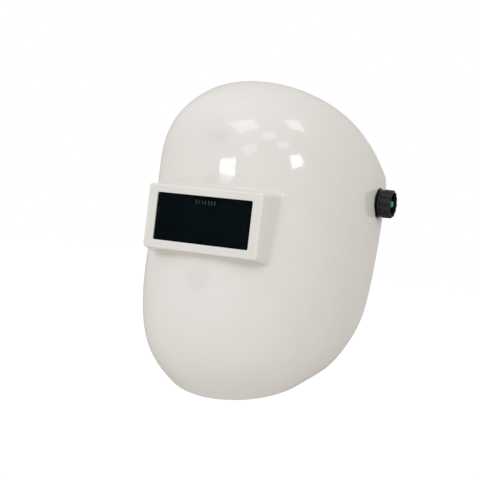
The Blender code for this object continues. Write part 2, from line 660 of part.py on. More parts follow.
def build_crown_strap(side):
    sign = side_sign(side)
    lift = CROWN_THICKNESS + FIT if side == "left" else 0.0
    side_x = BAND_LINE[5, 0] + BAND_THICKNESS + 3 * FIT
    flat = crown_line(side_x, CROWN_HEIGHT + lift, 27, -CROWN_LAP / 2)
    along = np.gradient(flat, axis=0)
    along /= np.linalg.norm(along, axis=1, keepdims=True)
    line = np.column_stack([flat[:, 0], np.full(len(flat), CROWN_Y), flat[:, 1]])
    out = np.column_stack([along[:, 1], np.zeros(len(flat)), -along[:, 0]])
    across = np.tile((0.0, 1.0, 0.0), (len(flat), 1))
    tip = np.interp(np.arange(len(flat))[::-1], range(len(CROWN_TAPER)), CROWN_TAPER)
    bm = strip_solid(line, out, across, tip * CROWN_HALF_WIDTH, CROWN_THICKNESS)
    item = add_object("crown_strap_" + side, mirror_x(bm, side), MATERIALS["strap_plastic"])
    profile = [(CROWN_HOLE_RADIUS, CROWN_HEIGHT - 2 * CUT), (CROWN_HOLE_RADIUS, CROWN_HEIGHT + CUT)]
    for k in CROWN_HOLES[side]:
        centre = Vector((sign * k * CROWN_HOLE_PITCH, CROWN_Y, 0.0))
        bore = turned_along(profile, 12, centre, Vector((0.0, 0.0, 1.0)))
        combine(item, tool_object(bore), "DIFFERENCE")


def build_crown_peg():
    low = CROWN_HEIGHT - FIT
    high = CROWN_HEIGHT + 2 * CROWN_THICKNESS + 2 * FIT + 0.2 * MM
    head = PEG_HEAD_RADIUS
    profile = [(head - 0.6 * MM, low - 1.4 * MM), (head, low - 0.8 * MM), (head, low), (PEG_RADIUS, low),
               (PEG_RADIUS, high), (head, high), (head, high + 0.7 * MM), (head - 1.2 * MM, high + 1.5 * MM)]
    point = Vector((0.0, CROWN_Y, 0.0))
    add_object("crown_peg", turned_along(profile, PIN_SIDES, point, Vector((0.0, 0.0, 1.0))),
               MATERIALS["green_nylon"], (0.0, CROWN_Y, CROWN_HEIGHT))


# ---------------------------------------------------------------- ratchet

def rack_half_tooth(depth):
    """Half thickness of a rack tooth at a height above (+) or below (-) the pitch line."""
    return math.pi * MODULE / 4 - BACKLASH / 4 - depth * math.tan(PRESSURE_ANGLE)


def build_rack(side):
    """Toothed bar. The left one runs above the pinion and the right one below."""
    sign = side_sign(side)
    pitch = math.pi * MODULE
    radius = PINION_TEETH * MODULE / 2
    root, tip = radius + DEDENDUM, radius - ADDENDUM
    outline = [(RACK_TIP, RACK_BACK), (RACK_TIP, root)]
    for k in range(math.ceil(RACK_TIP / pitch + 0.5), math.floor(RACK_TOOTHED / pitch) + 1):
        centre = k * pitch
        outline.append((centre - rack_half_tooth(-DEDENDUM), root))
        outline.append((centre - rack_half_tooth(ADDENDUM), tip))
        outline.append((centre + rack_half_tooth(ADDENDUM), tip))
        outline.append((centre + rack_half_tooth(-DEDENDUM), root))
    outline += [(RACK_END, root), (RACK_END, RACK_BACK)]
    rings = [[(sign * x, y, RATCHET_LEVEL + sign * z) for x, z in outline] for y in RACK_Y]
    add_object("rack_" + side, ring_solid(rings), MATERIALS["strap_plastic"],
               (sign * RACK_END, RACK_Y[0], RATCHET_LEVEL))


def pinion_radius(angle):
    """Reach of the pinion's outline at an angle, from involute flanks between two circles."""
    radius = PINION_TEETH * MODULE / 2
    base = radius * math.cos(PRESSURE_ANGLE)
    tip = radius + ADDENDUM
    root = radius - DEDENDUM
    pitch_angle = 2 * math.pi / PINION_TEETH
    offset = abs((angle + pitch_angle / 2) % pitch_angle - pitch_angle / 2)
    involute = math.tan(PRESSURE_ANGLE) - PRESSURE_ANGLE
    half = pitch_angle / 4 - BACKLASH / 2 / radius
    for reach in np.linspace(tip, root, 61):
        pressure = math.acos(min(1.0, base / reach))
        width = half + involute - (math.tan(pressure) - pressure)
        if width >= offset:
            return reach
    return root


def build_pinion_shaft():
    segments = PINION_TEETH * 8
    tooth_start, tooth_end = RACK_Y[0] - TOOTH_OVERHANG, RACK_Y[1] + TOOTH_OVERHANG

    def detent(angle):
        return DETENT_RADIUS - DETENT_DEPTH * abs(math.sin(DETENT_TEETH * angle / 2))

    rings = [circle_y(BACK_PLATE_Y[0] + FIT, SHAFT_PILOT, segments),
             circle_y(tooth_start, SHAFT_PILOT, segments),
             circle_y(tooth_start, pinion_radius, segments),
             circle_y(tooth_end, pinion_radius, segments),
             circle_y(tooth_end, SHAFT_RADIUS, segments),
             circle_y(DETENT_Y[0], SHAFT_RADIUS, segments),
             circle_y(DETENT_Y[0], detent, segments),
             circle_y(DETENT_Y[1], detent, segments),
             circle_y(DETENT_Y[1], SHAFT_RADIUS, segments),
             circle_y(RATCHET_KNOB_Y[1] - RATCHET_KNOB_RECESS - 0.4 * MM, SHAFT_RADIUS, segments)]
    add_object("pinion_shaft", ring_solid(rings), MATERIALS["green_nylon"],
               (0.0, RACK_Y[0], RATCHET_LEVEL))


def build_pawl_spring():
    """Leaf above the detent wheel with a dimple that clicks over its teeth."""
    x = np.linspace(-SPRING_HALF_LENGTH, SPRING_HALF_LENGTH, 19)
    drop, width = SPRING_DIMPLE
    z = RATCHET_LEVEL + DETENT_RADIUS + SPRING_REST - drop * np.exp(-(x / width) ** 2)
    line = np.column_stack([x, np.full(len(x), sum(DETENT_Y) / 2), z])
    out = np.tile((0.0, 0.0, 1.0), (len(x), 1))
    across = np.tile((0.0, 1.0, 0.0), (len(x), 1))
    bm = strip_solid(line, out, across, np.full(len(x), SPRING_HALF_WIDTH), SPRING_THICKNESS)
    add_object("pawl_spring", bm, MATERIALS["steel"])


def build_ratchet_knob():
    lobes, radius, flute = RATCHET_KNOB_LOBES, RATCHET_KNOB_RADIUS, RATCHET_KNOB_FLUTE
    segments = lobes * 4
    front, back = RATCHET_KNOB_Y
    bore = SHAFT_RADIUS + FIT
    grip = lobed(radius, flute, lobes)
    rings = [circle_y(back - RATCHET_KNOB_RECESS, bore, segments),
             circle_y(front, bore, segments),
             circle_y(front, radius - 2.0 * MM, segments),
             circle_y(front + 1.0 * MM, grip, segments),
             circle_y(back - 2.5 * MM, grip, segments),
             circle_y(back - 0.8 * MM, lobed(radius - 1.2 * MM, flute * 0.6, lobes), segments),
             circle_y(back, radius - 3.2 * MM, segments)]
    add_object("ratchet_knob", ring_solid(rings), MATERIALS["knob"],
               (0.0, front, RATCHET_LEVEL))


def rear_rings(half_x, half_z, corner, spans):
    return [round_rectangle(2 * half_x, 2 * half_z, corner, y, RATCHET_LEVEL) for y in spans]


def screw_centre(sign):
    """Place of a housing screw, clear of the rack that passes on the other side of the shaft."""
    return (sign * SCREW_PLACE[0], RATCHET_LEVEL - sign * SCREW_PLACE[1])


def rod_y(low, high, radius, centre=(0.0, RATCHET_LEVEL), sides=PIN_SIDES):
    return tool_object(ring_solid([circle_y(y, radius, sides, centre) for y in (low, high)]))


def build_housing():
    half_x, half_z = HOUSING_HALF
    front, back = HOUSING_Y
    bm = ring_solid(rear_rings(half_x, half_z, HOUSING_CORNER, HOUSING_Y))
    item = add_object("ratchet_housing", bm, MATERIALS["black_plastic"], (0.0, front, RATCHET_LEVEL))
    low = (-half_x - CUT, front - 5.0 * MM, RATCHET_LEVEL - half_z + HOUSING_WALL)
    high = (half_x + CUT, back - HOUSING_WALL, RATCHET_LEVEL + half_z - HOUSING_WALL)
    combine(item, tool_object(block(low, high)), "DIFFERENCE")
    for sign in (1.0, -1.0):
        centre = screw_centre(sign)
        combine(item, rod_y(front, back - 1.0 * MM, SCREW_BOSS, centre), "UNION")
        combine(item, rod_y(front - 1.0 * MM, back - 3.0 * MM, SCREW_BORE, centre), "DIFFERENCE")
    combine(item, rod_y(front, back + 2.0 * MM, SHAFT_RADIUS + FIT, sides=BORE_SIDES), "DIFFERENCE")


def build_back_plate():
    half_x, half_z = HOUSING_HALF
    front, back = BACK_PLATE_Y
    bm = ring_solid(rear_rings(half_x, half_z, HOUSING_CORNER, BACK_PLATE_Y))
    item = add_object("ratchet_back_plate", bm, MATERIALS["black_plastic"], (0.0, front, RATCHET_LEVEL))
    combine(item, rod_y(front - 2.0 * MM, back + 2.0 * MM, PILOT_BORE), "DIFFERENCE")
    for sign in (1.0, -1.0):
        centre = screw_centre(sign)
        combine(item, rod_y(front - 2.0 * MM, back + 2.0 * MM, SCREW_BORE, centre), "DIFFERENCE")
        combine(item, rod_y(front - 2.0 * MM, front + SCREW_SINK[1], SCREW_SINK[0], centre), "DIFFERENCE")


def build_housing_screw(name, sign):
    centre = screw_centre(sign)
    front = BACK_PLATE_Y[0] + 0.1 * MM
    head = BACK_PLATE_Y[0] + 1.0 * MM
    rings = [circle_y(front, SCREW_HEAD - FIT, PIN_SIDES, centre),
             circle_y(front + FIT, SCREW_HEAD, PIN_SIDES, centre),
             circle_y(head, SCREW_HEAD, PIN_SIDES, centre),
             circle_y(head, SCREW_SHANK, PIN_SIDES, centre),
             circle_y(HOUSING_Y[1] - 3.4 * MM, SCREW_SHANK, PIN_SIDES, centre)]
    add_object(name, ring_solid(rings), MATERIALS["steel"], (centre[0], head, centre[1]))


def build_nape_pad():
    half_x, half_z = HOUSING_HALF[0] - PAD_INSET[0], HOUSING_HALF[1] - PAD_INSET[1]
    front, back = NAPE_PAD_Y
    rings = rear_rings(half_x - PAD_EDGE, half_z - PAD_EDGE, HOUSING_CORNER - 1.0 * MM, (front,))
    rings += rear_rings(half_x, half_z, HOUSING_CORNER, (front + PAD_EDGE, back))
    add_object("nape_pad", ring_solid(rings), MATERIALS["foam"], (0.0, back, RATCHET_LEVEL))


# ---------------------------------------------------------------- whole helmet

def make_materials():
    return {
        "shell": make_material("shell", (0.84, 0.83, 0.81), 0.18),
        "filter": make_material("filter", (0.004, 0.008, 0.008), 0.05),
        "clear": make_material("clear", (0.9, 0.93, 0.92), 0.03, transmission=0.95),
        "rubber": make_material("rubber", (0.02, 0.02, 0.02), 0.8),
        "knob": make_material("knob", (0.012, 0.014, 0.013), 0.42),
        "black_plastic": make_material("black_plastic", (0.02, 0.02, 0.02), 0.5),
        "strap_plastic": make_material("strap_plastic", (0.03, 0.03, 0.032), 0.45),
        "green_nylon": make_material("green_nylon", (0.01, 0.3, 0.1), 0.4),
        "steel": make_material("steel", (0.6, 0.6, 0.6), 0.3, metallic=1.0),
        "foam": make_material("foam", (0.06, 0.06, 0.065), 0.95),
    }


clear_scene()
MATERIALS = make_materials()
build_shell()
build_lens_stack()
for ear in ("left", "right"):
    build_tension_knob(ear)
    build_pivot_stud(ear)
    washer("outer_washer_" + ear, OUTER_WASHER, OUTER_WASHER_RADIUS, ear, "knob")
    washer("inner_washer_" + ear, INNER_WASHER, WASHER_RADIUS, ear, "rubber")
    build_stop_plate(ear)
    build_bracket(ear)
    build_crown_strap(ear)
    build_rack(ear)
    build_rivet("front_rivet_" + ear, RIVET_PLACES[0], side_sign(ear))
    build_rivet("rear_rivet_" + ear, RIVET_PLACES[1], side_sign(ear))
    build_housing_screw("housing_screw_" + ear, side_sign(ear))
build_headband()
build_sweatband()
build_crown_peg()
build_pinion_shaft()
build_pawl_spring()
build_ratchet_knob()
build_housing()
build_back_plate()
build_nape_pad()
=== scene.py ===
"""Looks of the passive welding helmet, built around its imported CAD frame.

Units are metres. +X is the wearer's left, -Y the front, +Z up, and the origin is the middle of the ear hinge.
"""
import math

import bmesh
import bpy
import numpy as np
from mathutils import Matrix, Vector
from mathutils.bvhtree import BVHTree


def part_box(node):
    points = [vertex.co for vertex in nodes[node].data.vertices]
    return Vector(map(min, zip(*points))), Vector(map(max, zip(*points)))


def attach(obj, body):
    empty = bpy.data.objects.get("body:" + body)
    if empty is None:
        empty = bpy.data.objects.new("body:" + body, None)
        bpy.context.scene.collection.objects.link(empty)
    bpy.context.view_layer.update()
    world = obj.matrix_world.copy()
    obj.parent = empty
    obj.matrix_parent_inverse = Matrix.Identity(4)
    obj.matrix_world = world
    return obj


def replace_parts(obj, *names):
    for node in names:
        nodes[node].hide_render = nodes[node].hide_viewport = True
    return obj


MM = 0.001

# Camera: turn and height of the view, roll, distance to the aim point, focal length in sensor millimetres
VIEW_AZIMUTH = math.radians(23.48)
VIEW_ELEVATION = math.radians(0.13)
VIEW_ROLL = math.radians(6.68)
VIEW_DISTANCE = 0.9
VIEW_TARGET = Vector((59.17, -249.32, -56.45)) * MM
VIEW_LENS = 77.1
SENSOR = 36.0

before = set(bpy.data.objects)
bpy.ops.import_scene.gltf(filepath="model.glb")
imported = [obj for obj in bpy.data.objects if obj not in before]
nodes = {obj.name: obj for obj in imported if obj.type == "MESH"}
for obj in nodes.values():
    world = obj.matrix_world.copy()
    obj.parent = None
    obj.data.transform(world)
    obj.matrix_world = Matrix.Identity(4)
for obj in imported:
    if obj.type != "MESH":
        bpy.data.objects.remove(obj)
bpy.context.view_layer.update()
scene = bpy.context.scene


# ---------------------------------------------------------------- camera

def add_camera():
    azimuth, elevation = VIEW_AZIMUTH, VIEW_ELEVATION
    back = Vector((math.sin(azimuth) * math.cos(elevation), -math.cos(azimuth) * math.cos(elevation),
                   math.sin(elevation)))
    level = Vector((math.cos(azimuth), math.sin(azimuth), 0.0))
    upright = back.cross(level)
    right = level * math.cos(VIEW_ROLL) + upright * math.sin(VIEW_ROLL)
    up = upright * math.cos(VIEW_ROLL) - level * math.sin(VIEW_ROLL)
    camera = bpy.data.objects.new("camera", bpy.data.cameras.new("camera"))
    camera.data.lens = VIEW_LENS
    camera.data.sensor_width = SENSOR
    camera.data.clip_start = 0.01
    scene.collection.objects.link(camera)
    turn = np.array([right, up, back]).T
    matrix = np.eye(4)
    matrix[:3, :3] = turn
    matrix[:3, 3] = VIEW_TARGET + back * VIEW_DISTANCE
    camera.matrix_world = Matrix(matrix.tolist())
    scene.camera = camera
    return camera


camera = add_camera()
EYE = Vector(camera.matrix_world.translation)


# ---------------------------------------------------------------- mesh helpers

def add_mesh(name, build, body, slot, smooth_angle=40.0, finish=None):
    """Make a piece from a builder's points and faces, and let it ride on a body."""
    mesh = bpy.data.meshes.new(name)
    mesh.from_pydata(build.points, [], build.faces)
    bm = bmesh.new()
    bm.from_mesh(mesh)
    bmesh.ops.recalc_face_normals(bm, faces=bm.faces)
    bm.to_mesh(mesh)
    bm.free()
    mesh.materials.append(MATERIALS[finish or slot])
    mesh.shade_smooth()
    mesh.set_sharp_from_angle(angle=math.radians(smooth_angle))
    item = bpy.data.objects.new(name, mesh)
    scene.collection.objects.link(item)
    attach(item, body)
    return item


class Builder:
    """Collects rings of points and joins them into one mesh."""

    def __init__(self):
        self.points = []
        self.faces = []

    def ring(self, points):
        start = len(self.points)
        self.points.extend(tuple(p) for p in points)
        return list(range(start, len(self.points)))

    def join(self, first, second, closed=True):
        count = len(first)
        for k in range(count if closed else count - 1):
            after = (k + 1) % count
            self.faces.append((first[k], first[after], second[after], second[k]))

    def loft(self, rings, closed_profile=False, caps=False):
        made = [self.ring(ring) for ring in rings]
        for first, second in zip(made, made[1:]):
            self.join(first, second)
        if closed_profile:
            self.join(made[-1], made[0])
        if caps:
            self.faces.append(tuple(made[0]))
            self.faces.append(tuple(made[-1]))


def smooth_step(share):
    share = np.clip(share, 0.0, 1.0)
    return share * share * (3.0 - 2.0 * share)


def spline(values, samples):
    """Natural cubic spline through values at 0, 1, 2, ... read at the sample positions."""
    values = np.asarray(values, float).reshape(len(values), -1)
    count = len(values)
    matrix = np.eye(count)
    right = np.zeros_like(values)
    for i in range(1, count - 1):
        matrix[i, i - 1:i + 2] = (1.0, 4.0, 1.0)
        right[i] = 6.0 * (values[i - 1] - 2.0 * values[i] + values[i + 1])
    bend = np.linalg.solve(matrix, right)
    low = np.clip(np.floor(samples).astype(int), 0, count - 2)
    b = (samples - low)[:, None]
    a = 1.0 - b
    curve = a * values[low] + b * values[low + 1]
    curve += ((a ** 3 - a) * bend[low] + (b ** 3 - b) * bend[low + 1]) / 6.0
    return curve.squeeze()


def distances(points):
    """Distance of each point of a polyline from its start, along it."""
    steps = np.linalg.norm(np.diff(points, axis=0), axis=1)
    return np.concatenate([[0.0], np.cumsum(steps)])


def even_line(points, count):
    """Read a polyline at evenly spaced distances."""
    distance = distances(points)
    wanted = np.linspace(0.0, distance[-1], count)
    return np.stack([np.interp(wanted, distance, points[:, k]) for k in range(points.shape[1])], axis=1)


# ---------------------------------------------------------------- materials

class Nodes:
    """Short way to write a procedural material on the piece's own coordinates."""

    def __init__(self, name, colour, roughness, **values):
        self.material = bpy.data.materials.new(name)
        self.material.use_nodes = True
        self.tree = self.material.node_tree
        self.shader = self.tree.nodes["Principled BSDF"]
        self.shader.inputs["Base Color"].default_value = (*colour, 1.0)
        self.shader.inputs["Roughness"].default_value = roughness
        for key, value in values.items():
            self.shader.inputs[key.replace("_", " ")].default_value = value
        self.place = self.tree.nodes.new("ShaderNodeTexCoord").outputs["Object"]

    def add(self, kind, inputs=(), **settings):
        node = self.tree.nodes.new("ShaderNode" + kind)
        for key, value in settings.items():
            setattr(node, key, value)
        for key, value in dict(inputs).items():
            socket = node.inputs[key]
            if isinstance(value, bpy.types.NodeSocket):
                self.tree.links.new(value, socket)
            else:
                socket.default_value = value
        return node

    def stretched(self, scale):
        return self.add("Mapping", {"Vector": self.place, "Scale": scale}).outputs["Vector"]

    def noise(self, scale, detail=2.0, place=None):
        inputs = {"Vector": place or self.place, "Scale": scale, "Detail": detail}
        return self.add("TexNoise", inputs).outputs["Fac"]

    def cells(self, scale, feature="F1", place=None):
        return self.add("TexVoronoi", {"Vector": place or self.place, "Scale": scale},
                        feature=feature).outputs["Distance"]

    def ramp(self, value, low, high, start=0.0, end=1.0):
        return self.add("MapRange", {"Value": value, "From Min": low, "From Max": high, "To Min": start,
                                     "To Max": end}).outputs["Result"]

    def maths(self, operation, first, second=0.0):
        return self.add("Math", {0: first, 1: second}, operation=operation).outputs["Value"]

    def mix(self, share, first, second):
        node = self.tree.nodes.new("ShaderNodeMix")
        node.data_type = "RGBA"
        for socket, value in zip((node.inputs[0], node.inputs[6], node.inputs[7]), (share, first, second)):
            if isinstance(value, bpy.types.NodeSocket):
                self.tree.links.new(value, socket)
            else:
                socket.default_value = value
        return node.outputs[2]

    def colour(self, socket):
        self.tree.links.new(socket, self.shader.inputs["Base Color"])

    def rough(self, socket):
        self.tree.links.new(socket, self.shader.inputs["Roughness"])

    def bump(self, height, distance, below=None):
        inputs = {"Height": height, "Distance": distance, "Strength": 1.0}
        if below is not None:
            inputs["Normal"] = below
        return self.add("Bump", inputs).outputs["Normal"]

    def normal(self, socket):
        self.tree.links.new(socket, self.shader.inputs["Normal"])


def shell_material():
    """White moulded thermoplastic with a polished face, faint mottling and painted shade in the occluded
    creases of its lower half, such as under the lens box.
    """
    m = Nodes("shell_gloss", (0.80, 0.778, 0.735), 0.3, Coat_Weight=0.9, Coat_Roughness=0.07,
              Specular_IOR_Level=0.12)
    base = m.mix(m.ramp(m.noise(26.0, 3.0), 0.3, 0.7), (0.79, 0.769, 0.725, 1.0), (0.81, 0.79, 0.745, 1.0))
    # Painted shade: on the lower half of the shell, where ambient occlusion finds nearby surfaces, the colour
    # turns dark olive
    open_sky = m.add("AmbientOcclusion", {"Distance": 0.014}, samples=16).outputs["AO"]
    height = m.add("SeparateXYZ", {"Vector": m.place}).outputs["Z"]
    free_of_painted_shade = m.maths("MAXIMUM", m.ramp(open_sky, 0.35, 0.85), m.ramp(height, BOX_CENTRE, BOX_CENTRE + 0.03))
    m.colour(m.mix(free_of_painted_shade, (0.52, 0.47, 0.37, 1.0), base))
    m.rough(m.ramp(m.noise(70.0, 4.0), 0.3, 0.75, 0.26, 0.36))
    peel = m.bump(m.noise(150.0, 1.0), 0.000012)
    m.normal(m.bump(m.noise(14.0, 1.0), 0.00012, below=peel))
    return m.material


def filter_material(marks):
    """Dark polished glass with a faint depth tone and a row of generic etched ticks."""
    m = Nodes("filter_glass", (0.0035, 0.006, 0.0068), 0.06, Specular_IOR_Level=0.2)
    x_low, x_high, z_low, z_high, pitch = marks
    axes = m.add("SeparateXYZ", {"Vector": m.place})
    x, z = axes.outputs["X"], axes.outputs["Z"]
    inside = m.maths("MULTIPLY", m.maths("GREATER_THAN", x, x_low), m.maths("LESS_THAN", x, x_high))
    inside = m.maths("MULTIPLY", inside, m.maths("GREATER_THAN", z, z_low))
    inside = m.maths("MULTIPLY", inside, m.maths("LESS_THAN", z, z_high))
    step = m.maths("FRACT", m.maths("DIVIDE", m.maths("SUBTRACT", x, x_low), pitch))
    tick = m.maths("MULTIPLY", inside, m.maths("LESS_THAN", step, 0.42))
    etched = m.maths("MULTIPLY", tick, m.ramp(m.noise(1600.0, 2.0), 0.3, 0.7, 0.45, 1.0))
    depth = m.ramp(m.noise(9.0, 2.0), 0.35, 0.75)
    tone = m.mix(depth, (0.003, 0.0052, 0.006, 1.0), (0.006, 0.0085, 0.0095, 1.0))
    m.colour(m.mix(etched, tone, (0.075, 0.08, 0.082, 1.0)))
    m.rough(m.ramp(m.noise(240.0, 3.0), 0.3, 0.7, 0.05, 0.09))
    m.normal(m.bump(etched, -0.00003))
    return m.material


def clear_material():
    m = Nodes("clear_polycarbonate", (0.97, 0.985, 0.98), 0.0, Transmission_Weight=1.0, IOR=1.15)
    m.rough(m.ramp(m.noise(300.0, 3.0), 0.5, 0.8, 0.0, 0.03))
    return m.material


def plastic_material(name, colour, roughness, grain=900.0, grain_height=0.00003, spread=0.25, **values):
    """Moulded plastic with a spark-eroded grain, slow colour drift and a lighter colour on sharp edges."""
    m = Nodes(name, colour, roughness, **values)
    lighter_tone = tuple(min(1.0, c * 1.5 + 0.006) for c in colour)
    drift = m.ramp(m.noise(35.0, 3.0), 0.3, 0.7, 0.0, spread)
    # Sharp convex edges, found by pointiness, take the lighter colour
    edge = m.ramp(m.tree.nodes.new("ShaderNodeNewGeometry").outputs["Pointiness"], 0.52, 0.6, 0.0, 0.6)
    m.colour(m.mix(m.maths("MAXIMUM", drift, edge), (*colour, 1.0), (*lighter_tone, 1.0)))
    m.rough(m.ramp(m.noise(120.0, 4.0), 0.3, 0.7, roughness - 0.06, roughness + 0.08))
    m.normal(m.bump(m.noise(grain, 2.0), grain_height))
    return m.material


def fabric_material():
    """Knitted cover: rows of loops, a soft fuzz and slow fading."""
    m = Nodes("knitted_cover", (0.035, 0.036, 0.04), 0.95, Sheen_Weight=0.35, Sheen_Roughness=0.5)
    loops = m.cells(1100.0, place=m.stretched((1.0, 1.0, 0.55)))
    fuzz = m.noise(2600.0, 3.0)
    fade = m.ramp(m.noise(40.0, 3.0), 0.3, 0.7)
    shade = m.mix(fade, (0.030, 0.031, 0.035, 1.0), (0.05, 0.051, 0.056, 1.0))
    m.colour(m.mix(m.ramp(loops, 0.0, 0.6), m.mix(0.5, shade, (0.085, 0.087, 0.095, 1.0)), shade))
    knit = m.bump(loops, -0.00035)
    m.normal(m.bump(fuzz, 0.0001, below=knit))
    return m.material


def steel_material():
    m = Nodes("zinc_plated_steel", (0.58, 0.57, 0.54), 0.3, Metallic=1.0)
    m.rough(m.ramp(m.noise(900.0, 4.0), 0.3, 0.7, 0.22, 0.42))
    m.colour(m.mix(m.ramp(m.noise(160.0, 3.0), 0.3, 0.7), (0.52, 0.51, 0.48, 1.0), (0.64, 0.63, 0.6, 1.0)))
    m.normal(m.bump(m.noise(1500.0, 2.0), 0.00001))
    return m.material


def thread_material():
    m = Nodes("stitch_thread", (0.10, 0.10, 0.11), 0.7, Sheen_Weight=0.3)
    m.colour(m.mix(m.noise(900.0, 2.0), (0.08, 0.08, 0.09, 1.0), (0.15, 0.15, 0.16, 1.0)))
    m.normal(m.bump(m.noise(3000.0, 1.0), 0.00008))
    return m.material


# ---------------------------------------------------------------- shell

# Nine sections from the crown edge to the chin edge, as in the CAD source: rim (y, z), mid line (y, z),
# half width and the power of the rounded section
RIM_LINE = np.array([(24, 41.5), (36, 30.5), (24.5, 4), (9.5, -38.5), (0, -86),
                     (-11.5, -126), (-35.5, -155.5), (-56.5, -178), (-78.5, -190.5)]) * MM
MID_LINE = np.array([(-72.5, 109), (-126.5, 103.5), (-174, 81.5), (-193.5, 46.5), (-189, -14),
                     (-200, -82.5), (-196, -150), (-175, -191.5), (-146, -216)]) * MM
HALF_WIDTHS = np.array([95.5, 102, 107.5, 110.5, 110, 107, 100.5, 89, 74.5]) * MM
ROUNDNESS = np.array([2.05, 2.15, 2.3, 2.5, 2.6, 2.6, 2.45, 2.2, 1.95])
WALL = 2.4 * MM
ROWS = 161
COLUMNS = 201
SECTION_STEPS = 1441
EAR_SIDE = 90.0 * MM
FRONT_SIDE = -0.1
RIM_EDGE = 0.7 * MM

# Lens box
BOX_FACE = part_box("shell")[0].y
BOX_CENTRE = -42.5 * MM
BOX_HALF = (59.25 * MM, 30.75 * MM)
BOX_DRAFT = {"side": 0.09, "top": 0.04, "bottom": 0.16}
BOX_BACK = -162.0 * MM
BOX_CORNER = 3.2 * MM
BOX_EDGE = 1.7 * MM
OPENING_HALF = (49.5 * MM, 22.75 * MM)
OPENING_CORNER = 1.5 * MM
OPENING_EDGE = 0.45 * MM
POCKET_HALF = (54.3 * MM, 25.7 * MM)
POCKET_CORNER = 1.0 * MM
LIP = 1.9 * MM
FILLET = {"side": 7.0 * MM, "top": 5.0 * MM, "bottom": 1.6 * MM}
PATCH_MARGIN = {"side": 15.0 * MM, "top": 15.0 * MM, "bottom": 13.0 * MM}
CORNER_STEPS = 5
ARC_STEPS = 7
SKIN_STEPS = 14
FLAT_RING = 0.8 * MM

# Ear seats
SEAT = 107.6 * MM
SEAT_BACK = 103.9 * MM
SEAT_RADIUS = 16.6 * MM
SEAT_BLEND = 2.6 * MM
PIVOT_BORE = 4.3 * MM
BORE_SPARE = 0.4 * MM
LUG_RADIUS = 1.8 * MM
LUG_ORBIT = 13.6 * MM
LUG_ANGLE = math.radians(40)
LUG_TIP = 101.0 * MM
LUG_ROOT = 1.0 * MM
LUG_EDGE = 0.3 * MM


def skin_grid():
    """Outer skin: rows from crown to chin, columns from the wearer's right to the left."""
    samples = np.linspace(0.0, len(RIM_LINE) - 1.0, ROWS)
    rim = spline(RIM_LINE, samples)
    middle = spline(MID_LINE, samples)
    half = spline(HALF_WIDTHS, samples)
    power = 2.0 / spline(ROUNDNESS, samples)
    angles = np.linspace(-math.pi / 2, math.pi / 2, SECTION_STEPS)
    grid = np.empty((ROWS, COLUMNS, 3))
    for i in range(ROWS):
        across = np.sign(np.sin(angles)) * np.abs(np.sin(angles)) ** power[i]
        forward = np.abs(np.cos(angles)) ** power[i]
        section = np.stack([half[i] * across,
                            rim[i, 0] + (middle[i, 0] - rim[i, 0]) * forward,
                            rim[i, 1] + (middle[i, 1] - rim[i, 1]) * forward], axis=1)
        grid[i] = even_line(section, COLUMNS)
    return grid


def grid_normals(grid):
    normal = np.cross(np.gradient(grid, axis=0), np.gradient(grid, axis=1))
    return normal / np.linalg.norm(normal, axis=2, keepdims=True)


def seat_share(points):
    """How much of the ear seat's flat a point takes, from 0 to 1."""
    reach = np.hypot(points[..., 1], points[..., 2])
    near = smooth_step((SEAT_RADIUS + SEAT_BLEND - reach) / SEAT_BLEND)
    return near * (np.abs(points[..., 0]) > EAR_SIDE)


def with_seat(points, level):
    share = seat_share(points)
    out = points.copy()
    out[..., 0] += share * (np.sign(points[..., 0]) * level - points[..., 0])
    return out


def surface_tree(grid):
    """Search tree over a grid, for reading its depth at a place seen from the front."""
    index = np.arange(grid.shape[0] * grid.shape[1]).reshape(grid.shape[:2])
    quads = np.stack([index[:-1, :-1], index[:-1, 1:], index[1:, 1:], index[1:, :-1]], axis=-1).reshape(-1, 4)
    return BVHTree.FromPolygons(grid.reshape(-1, 3).tolist(), quads.tolist())


def depth_at(tree, x, z):
    """Depth and outward normal of a surface straight behind a place on the front."""
    place, normal, _, _ = tree.ray_cast(Vector((x, -0.4, z)), Vector((0.0, 1.0, 0.0)))
    if normal.y > 0:
        normal = -normal
    return place.y, np.array(normal)


def outline(half, top, bottom, corner, counts):
    """Rounded rectangle seen from the front, as (x, z) points and outward directions.

    It starts in the middle of the upper corner on the wearer's right and runs clockwise, counts steps a side.
    """
    centres = [(-half + corner, top - corner), (half - corner, top - corner),
               (half - corner, bottom + corner), (-half + corner, bottom + corner)]
    points, directions = [], []
    for side in range(4):
        start, end = np.array(centres[side]), np.array(centres[(side + 1) % 4])
        facing = math.radians(90.0 - 90.0 * side)
        count = counts[side]
        for k in range(count):
            turn, centre = 0.0, start + (end - start) * (k - CORNER_STEPS) / (count - 2 * CORNER_STEPS)
            if k < CORNER_STEPS:
                turn, centre = math.radians(45.0) * (1 - k / CORNER_STEPS), start
            elif k > count - CORNER_STEPS:
                turn, centre = -math.radians(45.0) * (1 - (count - k) / CORNER_STEPS), end
            direction = np.array([math.cos(facing + turn), math.sin(facing + turn)])
            points.append(centre + corner * direction)
            directions.append(direction)
    return np.array(points), np.array(directions)


def box_outline(depth, counts):
    half = BOX_HALF[0] + BOX_DRAFT["side"] * depth
    top = BOX_CENTRE + BOX_HALF[1] + BOX_DRAFT["top"] * depth
    bottom = BOX_CENTRE - BOX_HALF[1] - BOX_DRAFT["bottom"] * depth
    return outline(half, top, bottom, BOX_CORNER, counts)


def window_outline(half, corner, counts, grow=0.0):
    return outline(half[0] + grow, BOX_CENTRE + half[1] + grow, BOX_CENTRE - half[1] - grow,
                   corner + grow, counts)[0]


def at_depth(flat, y):
    return np.column_stack([flat[:, 0], np.full(len(flat), y), flat[:, 1]])


def bisect(test, low, high):
    """Where a falling function of one number crosses zero."""
    for _ in range(30):
        middle = (low + high) / 2
        if test(middle) > 0:
            low = middle
        else:
            high = middle
    return (low + high) / 2


